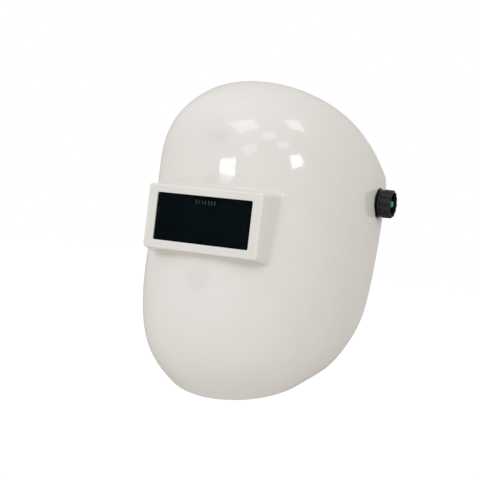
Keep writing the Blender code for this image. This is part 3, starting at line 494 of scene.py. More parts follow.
def by_side(table, direction):
    """Blend the values for the sides, the top and the bottom by the way a place faces."""
    across, upward = direction[0] ** 2, max(direction[1], 0.0) ** 2
    downward = max(-direction[1], 0.0) ** 2
    return table["side"] * across + table["top"] * upward + table["bottom"] * downward


def box_rings(outer_tree, inner_tree, outer_edge, inner_edge, counts):
    """Rings from the skin's outer face over the lens box and through it to the skin's inner face."""
    flat, directions = box_outline(0.0, counts)
    full = BOX_BACK - BOX_FACE
    deep, _ = box_outline(full, counts)
    total = len(flat)
    slope = np.column_stack([(deep - flat)[:, 0], np.full(total, full), (deep - flat)[:, 1]])
    wall = slope / full
    away = np.column_stack([directions[:, 0], np.zeros(total), directions[:, 1]])
    sideways = away - slope * (np.sum(away * slope, axis=1) / np.sum(slope * slope, axis=1))[:, None]
    sideways /= np.linalg.norm(sideways, axis=1, keepdims=True)
    start = at_depth(flat, BOX_FACE)

    arcs = np.empty((ARC_STEPS + 1, total, 3))
    inner_meet = np.empty((total, 3))
    for k in range(total):
        radius = by_side(FILLET, directions[k])

        def gap(depth):
            centre = start[k] + wall[k] * depth + sideways[k] * radius
            y, normal = depth_at(outer_tree, centre[0], centre[2])
            return (y - centre[1]) * abs(normal[1]) - radius

        depth = bisect(gap, 0.0, full)
        centre = start[k] + wall[k] * depth + sideways[k] * radius
        _, normal = depth_at(outer_tree, centre[0], centre[2])
        first, last = -sideways[k], -normal
        angle = math.acos(float(np.clip(first @ last, -1.0, 1.0)))
        for step in range(ARC_STEPS + 1):
            share = step / ARC_STEPS
            mix = (math.sin((1 - share) * angle) * first + math.sin(share * angle) * last) / math.sin(angle)
            arcs[step, k] = centre + mix * radius

        def inner_gap(depth):
            place = start[k] + wall[k] * depth
            return depth_at(inner_tree, place[0], place[2])[0] - place[1]

        inner_meet[k] = start[k] + wall[k] * bisect(inner_gap, 0.0, full)

    rings = []
    foot = arcs[-1]
    for step in range(1, SKIN_STEPS):
        share = step / SKIN_STEPS
        ring = outer_edge + (foot - outer_edge) * share
        for point in ring:
            point[1] = depth_at(outer_tree, point[0], point[2])[0]
        rings.append(ring)
    for point in foot:
        point[1] = depth_at(outer_tree, point[0], point[2])[0]
    rings += [arcs[step] for step in range(ARC_STEPS, -1, -1)]
    edge_start = start + wall * BOX_EDGE
    rings.append(arcs[0] + (edge_start - arcs[0]) * 0.5)
    for angle in np.radians((0.0, 18.0, 36.0, 54.0, 72.0, 90.0)):
        inset = BOX_EDGE * (1 - math.cos(angle))
        rings.append(start + wall * BOX_EDGE * (1 - math.sin(angle)) - away * inset)
    rings.append(rings[-1] - away * FLAT_RING)
    flat_window = window_outline(OPENING_HALF, OPENING_CORNER, counts, OPENING_EDGE + FLAT_RING)
    rings.append(at_depth(flat_window, BOX_FACE))
    for angle in np.radians((90.0, 60.0, 30.0, 0.0)):
        grow = OPENING_EDGE * (1 - math.cos(angle))
        ring = window_outline(OPENING_HALF, OPENING_CORNER, counts, grow)
        rings.append(at_depth(ring, BOX_FACE + OPENING_EDGE * (1 - math.sin(angle))))
    opening = window_outline(OPENING_HALF, OPENING_CORNER, counts)
    pocket = window_outline(POCKET_HALF, POCKET_CORNER, counts)
    rings.append(at_depth(opening, BOX_FACE + LIP))
    rings.append(at_depth(pocket, BOX_FACE + LIP))
    rings.append(at_depth(pocket, BOX_BACK - RIM_EDGE))
    rings.append(at_depth(window_outline(POCKET_HALF, POCKET_CORNER, counts, RIM_EDGE), BOX_BACK))
    rings.append(start + wall * full - away * RIM_EDGE)
    rings.append(start + wall * (full - RIM_EDGE))
    rings.append(inner_meet)
    for step in range(1, SKIN_STEPS):
        share = step / SKIN_STEPS
        ring = inner_meet + (inner_edge - inner_meet) * share
        for point in ring:
            point[1] = depth_at(inner_tree, point[0], point[2])[0]
        rings.append(ring)
    return rings


def hole_window(grid):
    """Rows and columns of the grid that the lens box and the skin around it take."""
    x, z = grid[..., 0], grid[..., 2]
    side = BOX_HALF[0] + PATCH_MARGIN["side"]
    top = BOX_CENTRE + BOX_HALF[1] + PATCH_MARGIN["top"]
    bottom = BOX_CENTRE - BOX_HALF[1] - PATCH_MARGIN["bottom"]
    taken = (np.abs(x) <= side) & (z <= top) & (z >= bottom) & (grid[..., 1] < FRONT_SIDE)
    rows = np.nonzero(taken.any(axis=1))[0]
    columns = np.nonzero(taken.any(axis=0))[0]
    return rows[0] - 1, rows[-1] + 1, columns[0] - 1, columns[-1] + 1


def cell_corners(i, j):
    return [(i, j), (i, j + 1), (i + 1, j + 1), (i + 1, j)]


def bored_cells(skin):
    """Cells of the grid that the pivot bores take away."""
    bored = set()
    for i in range(ROWS - 1):
        for j in range(COLUMNS - 1):
            middle = (skin[i, j] + skin[i + 1, j + 1]) / 2
            if abs(middle[0]) > EAR_SIDE and math.hypot(middle[1], middle[2]) < PIVOT_BORE + BORE_SPARE:
                bored.add((i, j))
    return bored


def bore_outline(bored):
    edges = []
    for cell in bored:
        around = cell_corners(*cell)
        for first, second in zip(around, around[1:] + around[:1]):
            others = [c for c in bored if c != cell and {first, second} <= set(cell_corners(*c))]
            if not others:
                edges.append((first, second))
    return edges


def round_bores(sheets, edges):
    """Move the bores' stepped edges onto their circles."""
    for i, j in {place for edge in edges for place in edge}:
        for sheet in sheets:
            y, z = sheet[i, j, 1:]
            sheet[i, j, 1:] = np.array([y, z]) * PIVOT_BORE / math.hypot(y, z)


def rim_places():
    """Grid places around the shell's open edge."""
    places = [(0, j) for j in range(COLUMNS)] + [(i, COLUMNS - 1) for i in range(1, ROWS)]
    places += [(ROWS - 1, j) for j in range(COLUMNS - 2, -1, -1)] + [(i, 0) for i in range(ROWS - 2, 0, -1)]
    return places


def rounded_rim(outer, inner, rim):
    """Draw both sheets' edges in, and give the rings that round the edge between them."""
    lip = [[] for _ in range(4)]
    quarter = 0.25 * RIM_EDGE
    for i, j in rim:
        inward = outer[min(max(i, 1), ROWS - 2), min(max(j, 1), COLUMNS - 2)]
        face, back = outer[i, j].copy(), inner[i, j].copy()
        out = (face - inward) / np.linalg.norm(face - inward)
        up = (face - back) / np.linalg.norm(face - back)
        lip[0].append(face - out * quarter - up * quarter)
        lip[1].append(face - up * RIM_EDGE)
        lip[2].append(back + up * RIM_EDGE)
        lip[3].append(back - out * quarter + up * quarter)
        outer[i, j] = face - out * RIM_EDGE
        inner[i, j] = back - out * RIM_EDGE
    return lip


def add_sheets(build, sheets, hole, bored):
    """Add the outer and inner skins without their holes, and give the number of each place's point."""
    top, bottom, left, right = hole
    removed = {(i, j) for i in range(top, bottom) for j in range(left, right)} | bored
    index = {}
    for name, sheet in sheets.items():
        for i in range(ROWS):
            for j in range(COLUMNS):
                if not (top < i < bottom and left < j < right):
                    index[name, i, j] = len(build.points)
                    build.points.append(tuple(sheet[i, j]))
        for i in range(ROWS - 1):
            for j in range(COLUMNS - 1):
                if (i, j) not in removed:
                    build.faces.append(tuple(index[(name, *place)] for place in cell_corners(i, j)))
    return index


def add_lugs(build):
    """Small round stops behind each ear seat."""
    angles = np.linspace(0.0, 2 * math.pi, 24, endpoint=False)
    centre = (LUG_ORBIT * math.cos(LUG_ANGLE), LUG_ORBIT * math.sin(LUG_ANGLE))
    steps = ((SEAT_BACK + LUG_ROOT, LUG_RADIUS), (LUG_TIP + LUG_EDGE, LUG_RADIUS),
             (LUG_TIP, LUG_RADIUS - LUG_EDGE))
    for sign in (1.0, -1.0):
        rings = [[(sign * x, centre[0] + radius * math.cos(a), centre[1] + radius * math.sin(a))
                  for a in angles] for x, radius in steps]
        build.loft(rings, caps=True)


def shell_piece():
    """Mesh of the whole moulding, and the plain skin that it started from."""
    skin = skin_grid()
    outer = with_seat(skin, SEAT)
    inner = with_seat(skin - grid_normals(skin) * WALL, SEAT_BACK)
    hole = hole_window(skin)
    top, bottom, left, right = hole
    border = [(top, j) for j in range(left, right)] + [(i, right) for i in range(top, bottom)]
    border += [(bottom, j) for j in range(right, left, -1)] + [(i, left) for i in range(bottom, top, -1)]
    bored = bored_cells(skin)
    bore_edges = bore_outline(bored)
    round_bores((outer, inner), bore_edges)
    rim = rim_places()
    lip = rounded_rim(outer, inner, rim)

    build = Builder()
    index = add_sheets(build, {"outer": outer, "inner": inner}, hole, bored)

    def bridge(places, rings):
        """Join the two sheets at the same places through rings of new points."""
        made = [[index[("outer", *place)] for place in places]]
        made += [build.ring(ring) for ring in rings]
        made.append([index[("inner", *place)] for place in places])
        for first, second in zip(made, made[1:]):
            build.join(first, second)

    for first, second in bore_edges:
        build.faces.append((index[("outer", *first)], index[("outer", *second)],
                            index[("inner", *second)], index[("inner", *first)]))
    bridge(rim, lip)
    edges = [np.array([sheet[place] for place in border]) for sheet in (outer, inner)]
    counts = (right - left, bottom - top, right - left, bottom - top)
    bridge(border, box_rings(surface_tree(outer), surface_tree(inner), *edges, counts))
    add_lugs(build)
    return build, skin


MATERIALS = {"shell": shell_material()}
shell_build, SKIN = shell_piece()
helmet = add_mesh("shell_moulding", shell_build, "helmet_shell", "shell", smooth_angle=50.0)
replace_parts(helmet, "shell")


# ---------------------------------------------------------------- finishes of the other slots

MATERIALS.update({
    "filter": filter_material((-10.0 * MM, 12.0 * MM, -27.4 * MM, -23.9 * MM, 3.2 * MM)),
    "clear": clear_material(),
    "rubber": plastic_material("gasket_rubber", (0.012, 0.012, 0.013), 0.62, 500.0, 0.00004, 0.3),
    "knob": plastic_material("knob_nylon", (0.0040, 0.0045, 0.0062), 0.26, 650.0, 0.00001, 0.12,
                             Specular_IOR_Level=0.3),
    "black_plastic": plastic_material("black_polypropylene", (0.013, 0.013, 0.014), 0.42, 800.0, 0.00003,
                                      0.3),
    "strap_plastic": plastic_material("strap_polyethylene", (0.020, 0.021, 0.023), 0.36, 420.0, 0.00005,
                                      0.35),
    "green_nylon": plastic_material("green_nylon", (0.006, 0.27, 0.10), 0.34, 700.0, 0.00002, 0.15),
    "steel": steel_material(),
    "foam": fabric_material(),
    "thread": thread_material(),
})
SIDES = (("left", 1.0), ("right", -1.0))


# ---------------------------------------------------------------- turned and carried-over pieces

def turned_rings(profile, count, place, lobes=0, power=0.8):
    """Rings for rows of (distance along, radius, flute depth). place makes (along, across, up) a point."""
    angles = np.linspace(0.0, 2.0 * math.pi, count, endpoint=False)
    dip = (0.5 - 0.5 * np.cos(lobes * angles)) ** power
    rings = []
    for along, radius, flute in profile:
        reach = radius - flute * dip
        rings.append([place(along, r * math.cos(a), r * math.sin(a)) for r, a in zip(reach, angles)])
    return rings


def along_x(sign):
    return lambda along, across, up: (sign * along * MM, across * MM, up * MM)


def along_y(centre_x, centre_z):
    return lambda along, across, up: (centre_x + across * MM, along * MM, centre_z + up * MM)


def along_line(point, direction):
    turn = Vector((0.0, 0.0, 1.0)).rotation_difference(direction).to_matrix()
    return lambda along, across, up: point + turn @ Vector((across * MM, up * MM, along * MM))


def turned_piece(name, node, profile, place, body, slot, count=64, lobes=0, power=0.8, closed=False):
    build = Builder()
    build.loft(turned_rings(profile, count, place, lobes, power), closed_profile=closed, caps=not closed)
    item = add_mesh(name, build, body, slot)
    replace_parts(item, node)
    return item


def soften(name, slot, width=0.35):
    """Round the edges of a CAD node and give it its finish."""
    item = nodes[name]
    item.modifiers.new("weld", "WELD").merge_threshold = 0.01 * MM
    bevel = item.modifiers.new("edges", "BEVEL")
    bevel.width = width * MM
    bevel.segments = 3
    bevel.limit_method = "ANGLE"
    bevel.angle_limit = math.radians(32.0)
    shade = item.modifiers.new("shade", "WEIGHTED_NORMAL")
    shade.keep_sharp = False
    for place in item.material_slots:
        place.material = MATERIALS[slot]


def washer_profile(low, high, bore, radius, edge=0.25):
    """Disc with rounded edges, as rows of (distance, radius, flute), all in millimetres."""
    rows = []
    for centre, reach, turn in ((low + edge, radius - edge, -90.0), (high - edge, radius - edge, 0.0),
                                (high - edge, bore + edge, 90.0), (low + edge, bore + edge, 180.0)):
        for step in (0.0, 30.0, 60.0, 90.0):
            angle = math.radians(turn + step)
            rows.append((centre + edge * math.sin(angle), reach + edge * math.cos(angle), 0.0))
    return rows


# ---------------------------------------------------------------- ear pivots

# Rows of (distance from the middle plane, radius, flute depth) in millimetres
KNOB_PROFILE = [
    (109.2, 4.6, 0), (109.2, 14.0, 0), (109.35, 14.6, 0), (109.75, 15.0, 0), (110.4, 15.25, 0),
    (111.0, 15.25, 0), (111.5, 15.1, 0), (111.75, 14.75, 0), (111.9, 14.3, 0), (112.2, 14.2, 0.1),
    (112.5, 14.35, 0.4), (112.8, 14.75, 1.1), (113.3, 15.1, 1.6), (114.1, 15.3, 1.9), (121.0, 15.2, 1.9),
    (122.6, 15.1, 1.85), (123.5, 14.9, 1.75), (124.1, 14.5, 1.5), (124.4, 13.95, 1.25),
    (124.4, 13.5, 1.1), (124.1, 13.1, 1.0), (123.5, 12.9, 0.95), (121.0, 12.7, 0.8), (116.6, 12.3, 0.3),
    (115.8, 11.9, 0.1), (115.5, 11.3, 0), (115.5, 6.9, 0), (115.75, 6.5, 0), (116.6, 6.3, 0),
    (116.9, 6.0, 0), (116.9, 5.0, 0), (116.7, 4.6, 0)]
KNOB_LOBES = 12
STUD_PROFILE = [
    (95.9, 8.7, 0.9), (96.1, 9.2, 1.4), (96.5, 9.45, 1.6), (97.3, 9.45, 1.6), (97.7, 9.2, 1.4),
    (97.9, 8.7, 0.9), (97.9, 4.2, 0), (98.2, 3.9, 0), (114.6, 3.9, 0), (114.9, 3.8, 0), (115.0, 3.7, 0),
    (115.3, 3.6, 0), (121.9, 3.6, 0), (122.7, 3.45, 0), (123.25, 3.0, 0), (123.6, 2.3, 0),
    (123.8, 1.2, 0), (123.82, 0.2, 0)]
for side, sign in SIDES:
    turned_piece("grip_knob_" + side, "tension_knob_" + side, KNOB_PROFILE, along_x(sign), side + "_knob",
                 "knob", count=240, lobes=KNOB_LOBES, closed=True)
    turned_piece("pivot_pin_" + side, "pivot_stud_" + side, STUD_PROFILE, along_x(sign), "headgear",
                 "green_nylon", count=96, lobes=4, power=1.2)
    turned_piece("face_washer_" + side, "outer_washer_" + side, washer_profile(107.9, 108.9, 4.3, 16.3),
                 along_x(sign), side + "_knob", "knob", count=96, closed=True)
    turned_piece("back_washer_" + side, "inner_washer_" + side, washer_profile(102.6, 103.6, 4.3, 10.5),
                 along_x(sign), "headgear", "rubber", count=96, closed=True)
    soften("stop_plate_" + side, "black_plastic", 0.25)
    soften("pivot_bracket_" + side, "black_plastic", 0.55)
    soften("crown_strap_" + side, "strap_plastic", 0.5)

# ---------------------------------------------------------------- lens stack

PLATE_HALF = (53.9 * MM, 25.3 * MM)
PLATE_CORNER = 1.0 * MM
PLATE_COUNTS = (24, 16, 24, 16)


def plate_ring(y, grow, half=PLATE_HALF, corner=PLATE_CORNER):
    return at_depth(window_outline(half, corner, PLATE_COUNTS, grow), y)


def plate_piece(name, node, slot, edge):
    low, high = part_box(node)
    edge *= MM
    flat = edge + 0.6 * MM
    side = [(0.0, -flat), (0.0, -edge), (0.3 * edge, -0.3 * edge), (edge, 0.0)]
    profile = [(low.y + depth, grow) for depth, grow in side]
    profile += [(high.y - depth, grow) for depth, grow in reversed(side)]
    build = Builder()
    build.loft([plate_ring(y, grow) for y, grow in profile], caps=True)
    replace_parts(add_mesh(name, build, "lens_pack", slot, 60.0), node)


def gasket_piece():
    """Flat rubber frame with a raised bead around its opening on both faces."""
    low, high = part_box("lens_gasket")
    middle, half = (low.y + high.y) / 2, (high.y - low.y) / 2
    inner = -(PLATE_HALF[0] - OPENING_HALF[0])
    outside = [(-0.4 * half, 0.0), (0.4 * half, 0.0), (0.7 * half, -0.3 * MM), (0.7 * half, inner + 2.0 * MM),
               (half, inner + 1.4 * MM), (half, inner + 0.6 * MM), (0.5 * half, inner + 0.1 * MM)]
    back = [(-depth, grow) for depth, grow in reversed(outside[2:])]
    build = Builder()
    build.loft([plate_ring(middle + depth, grow) for depth, grow in outside + back], closed_profile=True)
    item = add_mesh("gasket_frame", build, "lens_pack", "rubber")
    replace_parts(item, "lens_gasket")


plate_piece("cover_glass", "cover_lens", "clear", 0.2)
plate_piece("filter_glass", "filter_plate", "filter", 0.35)
gasket_piece()
plate_piece("inner_glass", "inner_cover_lens", "clear", 0.2)
soften("lens_retainer", "black_plastic", 0.6)

# ---------------------------------------------------------------- headgear

# Half of the headband's inner line from above and its rise, as in the CAD source
BAND_LINE = np.array([(0, -103), (30, -99), (56, -84), (72, -60), (79, -30), (80, 0),
                      (77, 30), (69, 58), (57, 80), (46, 91), (33.6, 95)]) * MM
BAND_END = len(BAND_LINE) - 1.0
BAND_TILT = -0.154
BAND_LEVEL = -7.4 * MM
BAND_HALF_HEIGHT = (15.0 * MM, 9.0 * MM)
RIVETS = {"front": 3.82, "rear": 6.2}
RIVET_PROFILE = [
    (-1.3, 2.2, 0), (-1.25, 3.2, 0), (-1.0, 3.9, 0), (-0.6, 4.3, 0), (-0.3, 4.4, 0), (-0.3, 2.0, 0),
    (5.3, 2.0, 0), (5.3, 4.4, 0), (5.6, 4.35, 0), (6.0, 4.0, 0), (6.35, 3.2, 0), (6.5, 2.0, 0)]
PEG_PROFILE = [
    (82.3, 2.0, 0), (82.4, 2.9, 0), (82.8, 3.4, 0), (83.4, 3.6, 0), (83.7, 3.5, 0), (83.7, 1.5, 0),
    (88.8, 1.5, 0), (88.8, 3.6, 0), (89.3, 3.55, 0), (89.8, 3.1, 0), (90.15, 2.3, 0), (90.3, 1.2, 0)]


def band_half_line(count, end=BAND_END):
    return even_line(spline(BAND_LINE, np.linspace(0.0, end, 321)), count)


def band_frames(flat):
    """Points of a line seen from above on the band's slope, and its outward directions."""
    points = np.column_stack([flat, BAND_LEVEL + BAND_TILT * flat[:, 1]])
    along = np.gradient(flat, axis=0)
    along /= np.linalg.norm(along, axis=1, keepdims=True)
    outward = np.column_stack([-along[:, 1], along[:, 0], np.zeros(len(flat))])
    outward *= np.sign(np.sum(outward[:, :2] * (flat + np.array([0.0, 1e-6])), axis=1))[:, None]
    return points, outward


def whole_line(half):
    return np.concatenate([half[:0:-1] * np.array([-1.0, 1.0]), half])


def headband_piece():
    """Moulded strap with a raised bead along both edges and a plain middle."""
    flat = whole_line(band_half_line(181))
    points, outward = band_frames(flat)
    share = smooth_step((flat[:, 1] + 90.0 * MM) / (160.0 * MM))
    halves = BAND_HALF_HEIGHT[0] + (BAND_HALF_HEIGHT[1] - BAND_HALF_HEIGHT[0]) * share
    edge = [(0.0, 1.1), (0.1, 0.5), (0.45, 0.1), (1.1, 0.0), (1.75, 0.1), (2.1, 0.5), (2.2, 1.1), (2.2, 2.3),
            (2.05, 2.7), (1.75, 3.0)]
    rings = []
    for k, (point, out, half) in enumerate(zip(points, outward, halves)):
        ends = min(k, len(points) - 1 - k)
        half -= max(0.0, 3.0 - ends) * 0.9 * MM
        ring = [point + out * o * MM + Vector((0.0, 0.0, -half + h * MM)) for o, h in edge]
        ring += [point + out * o * MM + Vector((0.0, 0.0, half - h * MM)) for o, h in reversed(edge)]
        rings.append(ring)
    build = Builder()
    build.loft(rings, caps=True)
    item = add_mesh("head_strap", build, "headgear", "strap_plastic")
    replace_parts(item, "headband")


def rivet_place(place, sign):
    points, outward = band_frames(spline(BAND_LINE, np.array([place - 0.05, place, place + 0.05])))
    mirror = np.array([sign, 1.0, 1.0])
    return along_line(Vector(points[1] * mirror), Vector(outward[1] * mirror))


headband_piece()
for side, sign in SIDES:
    for name, place in RIVETS.items():
        turned_piece(name + "_snap_" + side, name + "_rivet_" + side, RIVET_PROFILE, rivet_place(place, sign),
                     "headgear", "green_nylon", count=48)
peg_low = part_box("crown_peg")
turned_piece("crown_button", "crown_peg", PEG_PROFILE,
             along_line(Vector((0.0, (peg_low[0].y + peg_low[1].y) / 2, 0.0)), Vector((0.0, 0.0, 1.0))),
             "headgear", "green_nylon", count=48)

# ---------------------------------------------------------------- ratchet

RATCHET_LEVEL = -22.0 * MM
RATCHET_PROFILE = [
    (121.4, 0.4, 0), (121.4, 3.3, 0), (110.0, 3.3, 0), (110.0, 16.4, 0), (110.2, 17.2, 0.2),
    (110.6, 18.1, 0.8), (111.2, 18.8, 1.4), (112.0, 19.0, 1.6), (122.6, 19.0, 1.6), (124.0, 18.7, 1.5),
    (125.0, 18.1, 1.2), (125.7, 17.2, 0.8), (126.0, 16.2, 0.4), (125.9, 15.3, 0.1), (125.4, 14.5, 0),
    (124.5, 13.9, 0), (123.8, 13.0, 0), (123.5, 11.8, 0), (123.4, 8.8, 0), (123.6, 7.8, 0),
    (124.3, 7.1, 0), (124.8, 6.2, 0), (125.0, 4.8, 0), (125.0, 0.4, 0)]
turned_piece("dial_knob", "ratchet_knob", RATCHET_PROFILE, along_y(0.0, RATCHET_LEVEL), "ratchet_drive",
             "knob", count=256, lobes=16)
soften("ratchet_housing", "black_plastic", 0.8)
soften("ratchet_back_plate", "black_plastic", 0.5)
soften("pinion_shaft", "steel", 0.12)
soften("pawl_spring", "steel", 0.12)
for side, _ in SIDES:
    soften("rack_" + side, "strap_plastic", 0.15)
    soften("housing_screw_" + side, "steel", 0.2)

# ---------------------------------------------------------------- soft goods

CLOTH_PRESSURE = 4.0
CLOTH_FRAMES = 20
SEAM_WIDTH = 0.9 * MM
SEWN_SHARE = 0.3


def seam_share(gap):
    """Nearness, from 0 to 1, to a seam at this distance."""
    return np.exp(-(gap / SEAM_WIDTH) ** 2)


def swollen(item, voxel, cap, sewn):
    """Remesh a closed pad, let cloth pressure fill it between its sewn lines, and round it once more."""
    remesh = item.modifiers.new("remesh", "REMESH")
    remesh.mode = "VOXEL"
    remesh.voxel_size = voxel
    take_shape(item)
    start = vertex_places(item.data)
    group = item.vertex_groups.new(name="sewn")
    for index in np.nonzero(sewn(start))[0]:
        group.add([int(index)], 1.0, "REPLACE")
    cloth = item.modifiers.new("cloth", "CLOTH")
    cloth.settings.use_pressure = True
    cloth.settings.uniform_pressure_force = CLOTH_PRESSURE
    cloth.settings.vertex_group_mass = "sewn"
    cloth.settings.effector_weights.gravity = 0.0
    cloth.point_cache.frame_start, cloth.point_cache.frame_end = 1, CLOTH_FRAMES
    for number in range(1, CLOTH_FRAMES + 1):
        scene.frame_set(number)
    grown = vertex_places(item.evaluated_get(bpy.context.evaluated_depsgraph_get()).data)
    item.modifiers.clear()
    item.vertex_groups.clear()
    scene.frame_set(1)
    move = grown - start
    length = np.maximum(np.linalg.norm(move, axis=1, keepdims=True), 1e-9)
    set_places(item.data, start + move * np.minimum(1.0, cap / length))
    item.modifiers.new("round", "SUBSURF").levels = 1
    take_shape(item)


def take_shape(item):
    mesh = bpy.data.meshes.new_from_object(item.evaluated_get(bpy.context.evaluated_depsgraph_get()))
    item.modifiers.clear()
    item.data = mesh


def vertex_places(mesh):
    places = np.empty(len(mesh.vertices) * 3)
    mesh.vertices.foreach_get("co", places)
    return places.reshape(-1, 3)


def set_places(mesh, places):
    mesh.vertices.foreach_set("co", places.ravel())
    mesh.update()


def stitch_row(build, path, facing, length=2.4, gap=1.1, radius=0.26):
    """Add a row of short thread stitches along a path that lies on a surface."""
    distance = distances(path) / MM

    def read(rows, place):
        return np.array([np.interp(place, distance, rows[:, k]) for k in range(3)])

    for k in range(int(distance[-1] / (length + gap))):
        begin = k * (length + gap) + gap / 2
        rings = []
        for share in np.linspace(0.0, 1.0, 7):
            place = begin + share * length
            ahead = Vector(read(path, place + 0.2) - read(path, place - 0.2))
            up = Vector(read(facing, place)).normalized()
            ahead.normalize()
            across = ahead.cross(up).normalized()
            arch = math.sin(math.pi * share)
            thick = radius * (0.35 + 0.65 * arch ** 0.5)
            centre = Vector(read(path, place)) + up * (0.30 * arch - 0.12) * MM
            rings.append([centre + (across * math.cos(a) + up * math.sin(a)) * thick * MM
                          for a in np.linspace(0.0, 2.0 * math.pi, 8, endpoint=False)])
        build.loft(rings, caps=True)


SWEAT_END = 2.9
SWEAT_HALF = 17.0 * MM
SWEAT_TAPER = (0.55, 0.85, 0.96, 1.0)
SWEAT_DEPTHS = (-4.0 * MM, -0.9 * MM)
SWEAT_CHANNEL = 17.0 * MM
SWEAT_BORDER = 3.6 * MM
SWEAT_LIMIT = -0.4 * MM


def sweatband_line():
    flat = whole_line(band_half_line(97, SWEAT_END))
    points, outward = band_frames(flat)
    ends = np.minimum(np.arange(len(flat)), np.arange(len(flat))[::-1]) / 8.0
    half = np.interp(ends, range(len(SWEAT_TAPER)), SWEAT_TAPER) * SWEAT_HALF
    distance = distances(flat)
    return points, outward, half, distance - distance[-1] / 2


SWEAT_LINE = sweatband_line()


def on_sweatband(places):
    """Distance along the band, offset outwards and height of each place, and the nearest line points."""
    points, outward, _, distance = SWEAT_LINE
    nearest = np.argmin(((places[:, None, :2] - points[None, :, :2]) ** 2).sum(axis=2), axis=1)
    gap = places - points[nearest]
    tangent = np.column_stack([-outward[nearest, 1], outward[nearest, 0]])
    offset = np.sum(gap * outward[nearest], axis=1)
    turn = np.sign(tangent[:, 0] + 1e-12)
    along = distance[nearest] + np.sum(gap[:, :2] * tangent, axis=1) * turn
    height = places[:, 2] - BAND_LEVEL - BAND_TILT * places[:, 1]
    return along, offset, height, nearest


def sewn_lines(along, height, half, reach):
    """Nearness, from 0 to 1, to the border seam and to the cross channels of the sweatband."""
    limit = reach - SWEAT_BORDER
    border = np.minimum(half - SWEAT_BORDER - np.abs(height), limit - np.abs(along))
    nearest = np.round(along / SWEAT_CHANNEL) * SWEAT_CHANNEL
    channel = np.abs(along - nearest)
    inside = (border > 0.0) & (np.abs(nearest) < limit - 4.0 * MM)
    return np.maximum(seam_share(border), np.where(inside, seam_share(channel), 0.0))


def sweatband_piece():
    points, outward, half, distance = SWEAT_LINE
    middle, thick = sum(SWEAT_DEPTHS) / 2, (SWEAT_DEPTHS[1] - SWEAT_DEPTHS[0]) / 2
    rings = []
    for point, out, tall in zip(points, outward, half):
        ring = []
        for angle in np.linspace(0.0, 2.0 * math.pi, 48, endpoint=False):
            c, s = math.cos(angle), math.sin(angle)
            ring.append(point + out * (middle + thick * math.copysign(abs(c) ** 0.6, c))
                        + np.array([0.0, 0.0, (tall - 0.6 * MM) * math.copysign(abs(s) ** 0.55, s)]))
        rings.append(ring)
    build = Builder()
    build.loft(rings, caps=True)
    item = add_mesh("brow_pad", build, "headgear", "foam", 180.0)
    reach = distance[-1]

    def sewn(places):
        along, _, height, nearest = on_sweatband(places)
        return sewn_lines(along, height, half[nearest], reach) > SEWN_SHARE

    swollen(item, 1.5 * MM, 1.3 * MM, sewn)
    places = vertex_places(item.data)
    along, offset, height, nearest = on_sweatband(places)
    tight = sewn_lines(along, height, half[nearest], reach)
    headside = smooth_step((-2.4 * MM - offset) / (1.6 * MM))
    push = 0.75 * MM * tight * headside + np.minimum(0.0, SWEAT_LIMIT - offset)
    set_places(item.data, places + outward[nearest] * push[:, None])
    item.data.shade_smooth()
    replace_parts(item, "sweatband")
    sweatband_stitches(item, reach)


def sweatband_stitches(item, reach):
    points, outward, half, distance = SWEAT_LINE
    tree = BVHTree.FromObject(item, bpy.context.evaluated_depsgraph_get())
    limit = reach - SWEAT_BORDER

    def on_face(along, height):
        row = [np.interp(along, distance, values) for values in (*points.T, *outward.T)]
        point, out = Vector(row[:3]), Vector(row[3:]).normalized()
        start = point + Vector((0.0, 0.0, height)) - out * 12.0 * MM
        place, _, _, _ = tree.ray_cast(start, out)
        return (place if place is not None else start + out * 8.0 * MM), -out

    def tall(along):
        return np.interp(along, distance, half) - SWEAT_BORDER

    rows = []
    ends = np.linspace(-limit, limit, 161)
    rows.append([(s, tall(s)) for s in ends])
    rows.append([(s, -tall(s)) for s in ends])
    for s in (-limit, limit):
        rows.append([(s, h) for h in np.linspace(-tall(s), tall(s), 17)])
    count = int((limit - 4.0 * MM) / SWEAT_CHANNEL)
    for k in range(-count, count + 1):
        s = k * SWEAT_CHANNEL
        rows.append([(s, h) for h in np.linspace(-tall(s) + 1.0 * MM, tall(s) - 1.0 * MM, 25)])
    build = Builder()
    for row in rows:
        found = [on_face(s, h) for s, h in row]
        stitch_row(build, np.array([p for p, _ in found]), np.array([n for _, n in found]))
    add_mesh("brow_pad_stitching", build, "headgear", "foam", 60.0, "thread")


PAD_HALF = (35.0 * MM, 13.0 * MM)
PAD_COUNTS = (24, 14, 24, 14)
PAD_BORDER = 3.2 * MM
PAD_CHANNELS = (-11.0 * MM, 11.0 * MM)


def pad_outline(grow, corner):
    return outline(PAD_HALF[0] + grow, RATCHET_LEVEL + PAD_HALF[1] + grow,
                   RATCHET_LEVEL - PAD_HALF[1] - grow, corner, PAD_COUNTS)[0]


def pad_ring(grow, y, corner=4.5 * MM):
    return at_depth(pad_outline(grow, corner + grow), y)


def pad_lines(places):
    """Nearness, from 0 to 1, to the border seam and to the upright channels of the nape pad."""
    x, z = places[:, 0], places[:, 2] - RATCHET_LEVEL
    border = np.minimum(PAD_HALF[0] - PAD_BORDER - np.abs(x), PAD_HALF[1] - PAD_BORDER - np.abs(z))
    seam = seam_share(border)
    for place in PAD_CHANNELS:
        seam = np.maximum(seam, np.where(border > 0, seam_share(x - place), 0.0))
    return seam


